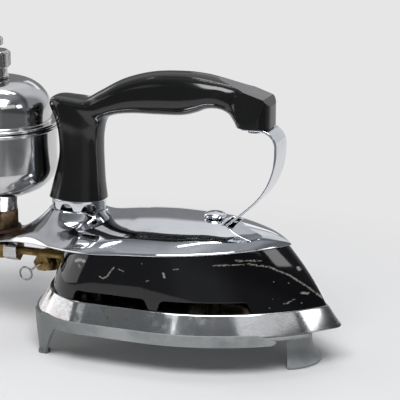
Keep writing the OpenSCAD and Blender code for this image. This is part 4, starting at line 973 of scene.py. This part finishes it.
for side in (1, -1):
    trim(bm, (front_x, side * CHEEK, COLLAR_TOP + CHEEK_V * RISE), (CHEEK_LEAN, side, CHEEK_TILT))
    for k in range(1, ROUND_CUTS):
        a = math.pi / 2 * k / ROUND_CUTS
        c, s = math.cos(a), math.sin(a)
        spot = (front_x - BLOCK_ROUND * (1 - c), side * (BLOCK_HALF - BLOCK_ROUND * (1 - s)), 0)
        trim(bm, spot, (c, side * s, 0))
bmesh.ops.remove_doubles(bm, verts=bm.verts, dist=0.01)
handle = settle(bm, "handle_moulding", ["handle", "handle_plug"], crease=28)
soften(handle, 0.5, segments=3, angle=28)

# %% [markdown]
# ## Vented collar
# A plated oval ring between the neck and the column, with six arched vents along its lower edge. As with
# the shell, the lower loop follows the arches.

# %% Vented collar
ARCHES, ARCH_R, ARCH_TURN, ARCH_SINK = 6, 4.6, math.radians(-10), 0.2
COLLAR_LOW, COLLAR_HIGH, COLLAR_WALL, COLLAR_POINTS, COLLAR_ROWS = NECK_H + 0.15, NECK_H + 6.45, 2.2, 288, 5
bm = bmesh.new()
foot, head = [], []
for t in spread(COLLAR_POINTS):
    x, y = COLLAR_AX * math.cos(t), COLLAR_AY * math.sin(t)
    rise = 0.0
    for arch in range(ARCHES):
        a = 2 * math.pi * (arch + 0.5) / ARCHES + ARCH_TURN
        off, ahead = x * math.sin(a) - y * math.cos(a), x * math.cos(a) + y * math.sin(a)
        if ahead > 0 and abs(off) < ARCH_R:
            rise = max(rise, math.sqrt(ARCH_R ** 2 - off ** 2) - ARCH_SINK)
    foot.append(Vector((COLLAR_X + x, y, COLLAR_LOW + rise)))
    head.append(Vector((COLLAR_X + x, y, COLLAR_HIGH)))
skin(bm, [ring(bm, [a.lerp(b, k / COLLAR_ROWS) for a, b in zip(foot, head)])
          for k in range(COLLAR_ROWS + 1)])
collar = settle(bm, "collar_chrome", ["handle_collar"], crease=60)
thicken(collar, COLLAR_WALL)
soften(collar, 0.35)

# %% [markdown]
# ## Front strap
# A spring strap leaves the front block, bends down and sweeps back through a slot in the cover, where a
# tab ends under the cap nut. One edge across the strap is extruded along the strap's path, then given its
# thickness and rounded edges.

# %% Front strap
STRAP_T, STRAP_HALF, STRAP_R, BOW_R, SLOPE = 1.5, 9.5, 10.0, 45.0, 42.0
STRAP_IN, STRAP_AHEAD, TAB_R, TAB_BACK, TAB_GAP, COVER_T = 16.3, 4.5, 4.0, 7, 0.7, 1.4
STRAP_TOP = COLLAR_TOP + BLOCK_V * RISE - STRAP_T / 2 - REST_GAP
STRAP_OUT = front_x + STRAP_AHEAD
bow, lean = 90 - SLOPE, math.radians(SLOPE)
fall = (STRAP_OUT - BOW_R * (1 - math.sin(lean)) - SLOT_X) * math.tan(lean)
tab_z = cover_height(SLOT_X - SLOT_BACK, 0) - COVER_T - STRAP_T / 2 - TAB_GAP
bend_z = tab_z + TAB_R * (1 - math.cos(lean))
bend_x = SLOT_X - (CREST_H - bend_z) / math.tan(lean)
path = [(front_x - STRAP_IN, STRAP_TOP)]
path += sweep(STRAP_OUT - STRAP_R, STRAP_TOP - STRAP_R, STRAP_R, STRAP_R, 90, 0, 18)
path += sweep(STRAP_OUT - BOW_R, CREST_H + fall + BOW_R * math.cos(lean), BOW_R, BOW_R, 0, -bow, 30)
path += sweep(bend_x - TAB_R * math.sin(lean), bend_z + TAB_R * math.cos(lean), TAB_R, TAB_R, -bow, -90, 8)
path.append((CREST_X - TAB_BACK, tab_z))
bm = bmesh.new()
rim = chain(bm, [(path[0][0], y, path[0][1]) for y in (-STRAP_HALF, STRAP_HALF)])
for (x0, z0), (x1, z1) in zip(path, path[1:]):
    grown = bmesh.ops.extrude_edge_only(bm, edges=rim)["geom"]
    rim = pick(grown, bmesh.types.BMEdge)
    bmesh.ops.translate(bm, vec=(x1 - x0, 0, z1 - z0), verts=pick(grown, bmesh.types.BMVert))
strap = settle(bm, "front_strap_chrome", ["front_strap"], crease=60)
thicken(strap, STRAP_T, offset=0.0)
soften(strap, 0.5, segments=3)

# %% [markdown]
# ## Fuel tank
# Two drawn brass halves meet in a rolled seam. Each half is a profile spun about the tank's axis, which
# gives the clean rings that a plated dome needs.

# %% Fuel tank
TANK_Z, SEAM_Z, DOME_Z, FLAT_R, BELLY_H = 60.0, 104.0, 131.5, 12, 19
bm = bmesh.new()
belly = [(5.05, TANK_Z)] + sweep(FLAT_R, TANK_Z + BELLY_H, 24.4, BELLY_H, -90, 0, 28)
belly += [(36.4, SEAM_Z - 2.9), (36.75, SEAM_Z - 2.45), (37.6, SEAM_Z - 2.3)]
belly += sweep(37.7, SEAM_Z - 1.3, 1.0, 1.0, -80, 60, 8) + [(37.6, SEAM_Z - 0.15), (36.0, SEAM_Z)]
lathe(bm, belly)
even(settle(bm, "tank_belly_nickel", ["tank_lower"], crease=50))
bm = bmesh.new()
dome = [(36.0, SEAM_Z + 0.05), (37.6, SEAM_Z + 0.3)] + sweep(37.7, SEAM_Z + 1.3, 1.0, 0.95, -60, 85, 8)
dome += [(34.6, SEAM_Z + 2.42), (33.9, SEAM_Z + 2.7), (33.6, SEAM_Z + 3.3)]
dome += sweep(FLAT_R, SEAM_Z + 8.4, 21.6, 19.1, 0, 90, 30) + [(6.5, DOME_Z)]
lathe(bm, dome)
even(settle(bm, "tank_dome_nickel", ["tank_upper"], crease=50))

# %% [markdown]
# ## Filler
# A flanged neck on the dome, a knurled cap and a small air screw on top of it. The knurl is a stack of
# rings whose points step in and out by turns, which bridges into small diamonds.


# %% Filler
def knurl(bm, radius, depth, teeth, low, high, rows):
    """Rings of small diamonds between two heights."""
    loops = []
    for j in range(rows + 1):
        z = low + (high - low) * j / rows
        reach = [radius - depth * ((k + j) % 2) for k in range(2 * teeth)]
        loops.append(ring(bm, [(TANK_X + r * math.cos(t), r * math.sin(t), z)
                               for t, r in zip(spread(2 * teeth), reach)]))
    skin(bm, loops)


CAP_Z = DOME_Z + 7.2
bm = bmesh.new()
lathe(bm, [(5.0, DOME_Z - 2.5), (6.4, DOME_Z - 2.5), (6.4, DOME_Z + 0.05), (8.1, DOME_Z + 0.05),
           (8.4, DOME_Z + 0.3), (8.4, DOME_Z + 1.7), (8.1, DOME_Z + 2.0), (7.4, DOME_Z + 2.5),
           (7.4, CAP_Z - 1.6), (6.9, CAP_Z - 0.9), (6.9, CAP_Z + 6.2), (5.0, CAP_Z + 6.2),
           (5.0, DOME_Z - 2.5)], steps=72)
even(settle(bm, "filler_neck_nickel", ["filler_neck"], crease=40))
bm = bmesh.new()
knurl(bm, radius=9.5, depth=0.4, teeth=40, low=CAP_Z + 0.9, high=CAP_Z + 8.3, rows=7)
lathe(bm, [(6.96, CAP_Z + 7.6), (6.96, CAP_Z), (8.5, CAP_Z), (8.95, CAP_Z + 0.4), (9.2, CAP_Z + 0.95)],
      steps=80)
lathe(bm, [(9.2, CAP_Z + 8.25), (8.9, CAP_Z + 8.9), (8.0, CAP_Z + 9.6), (7.4, CAP_Z + 10),
           (2.06, CAP_Z + 10), (2.06, CAP_Z + 7.6), (6.96, CAP_Z + 7.6)], steps=80)
even(settle(bm, "filler_cap_nickel", ["filler_cap"], body="filler", crease=30))
bm = bmesh.new()
SCREW_Z = CAP_Z + 13.1
knurl(bm, radius=5.2, depth=0.3, teeth=26, low=SCREW_Z + 0.5, high=SCREW_Z + 4.0, rows=3)
lathe(bm, [(0, CAP_Z + 5.6), (2.0, CAP_Z + 5.6), (2.0, CAP_Z + 10.3), (2.7, CAP_Z + 10.3), (2.7, SCREW_Z),
           (4.6, SCREW_Z), (5.05, SCREW_Z + 0.55)], steps=52)
lathe(bm, [(5.05, SCREW_Z + 3.95), (4.4, SCREW_Z + 4.7), (3.6, SCREW_Z + 5), (0, SCREW_Z + 5)], steps=52)
even(settle(bm, "air_screw_nickel", ["air_screw"], body="air_vent", crease=30))

# %% [markdown]
# ## Cap nut
# A low domed nut with a driver slot holds the cover down on the front stud. The dome is spun, and the
# faces of the slot are pushed down as one region, so its walls come with them.

# %% Cap nut
NUT_R, NUT_Z, NUT_H, DRIVER_HALF, DRIVER_D = 6.6, CREST_H + 0.05, 3.9, 0.6, 0.8
bm = bmesh.new()
lathe(bm, [(3.05, NUT_Z), (NUT_R - 1.6, NUT_Z), (NUT_R - 0.6, NUT_Z + 0.4), (NUT_R, NUT_Z + 1)]
      + sweep(0, NUT_Z + 1.4, NUT_R, NUT_H - 1.4, 0, 90, 16), x=CREST_X, steps=72)
for side in (-DRIVER_HALF, DRIVER_HALF):
    saw(bm, (0, side, 0), (0, 1, 0))
floor_z = NUT_Z + NUT_H - DRIVER_D
top = [f for f in bm.faces if abs(f.calc_center_median().y) < DRIVER_HALF
       and f.calc_center_median().z > floor_z]
grown = bmesh.ops.extrude_face_region(bm, geom=top)["geom"]
for vert in pick(grown, bmesh.types.BMVert):
    vert.co.z = floor_z
bmesh.ops.delete(bm, geom=[f for f in top if f.is_valid], context="FACES")
even(settle(bm, "cap_nut_chrome", ["cap_nut"], crease=40))

# %% [markdown]
# ## Fuel knob
# A small phenolic knob with eight finger lobes turns the fuel valve. Rings across its axis carry the
# lobes, and smaller rings at both ends round it over.

# %% Fuel knob
KNOB_R, KNOB_FRONT, KNOB_END, VALVE_Z, LOBES, LOBE_D, KNOB_POINTS = 10.0, -154.5, -165.5, 25.5, 8, 0.7, 128
KNOB_STEPS = [(KNOB_FRONT, 0.22), (KNOB_FRONT, 0.86), (KNOB_FRONT - 0.4, 0.95), (KNOB_FRONT - 1.2, 1.0),
              (KNOB_END + 1.6, 1.0), (KNOB_END + 0.6, 0.95), (KNOB_END + 0.1, 0.86), (KNOB_END, 0.72),
              (KNOB_END, 0.45), (KNOB_END, 0.22)]
bm = bmesh.new()
loops, turns = [], spread(KNOB_POINTS)
for x, size in KNOB_STEPS:
    reach = [size * (KNOB_R - LOBE_D + LOBE_D * math.cos(LOBES * t) * size ** 3) for t in turns]
    loops.append(ring(bm, [(x, r * math.sin(t), VALVE_Z + r * math.cos(t)) for t, r in zip(turns, reach)]))
skin(bm, loops)
even(settle(bm, "valve_knob_moulding", ["valve_knob"], body="fuel_valve", crease=40))

# %% [markdown]
# ## Small fittings
# Nuts, glands, tubes and screws are turned and milled, so their solids already have the right form, but
# each edge of a real one is broken with a file. A copy of each solid is merged, its flat faces are joined,
# and a live bevel rounds what is sharp.

# %% Small fittings
FITTINGS = {
    "iron": ["stem_nut", "tank_nut", "stem_washer", "outlet_nut", "packing_nut", "needle_gland", "jet_block",
             "valve_body", "mixing_tube", "generator_tube", "strap_screw"],
    "cleaner": ["cleaner_lever"],
    "fuel_valve": ["knob_screw", "valve_stem"],
}
for body, names in FITTINGS.items():
    for name in names:
        bm = bmesh.new()
        bm.from_mesh(frame["nodes"][name].data)
        bmesh.ops.remove_doubles(bm, verts=bm.verts, dist=0.000002)
        bmesh.ops.dissolve_limit(bm, angle_limit=math.radians(1), verts=bm.verts, edges=bm.edges)
        bmesh.ops.transform(bm, matrix=to_bench, verts=bm.verts)
        fitting = settle(bm, name + "_filed", [name], body=body, crease=30)
        soften(fitting, 0.3, angle=30)
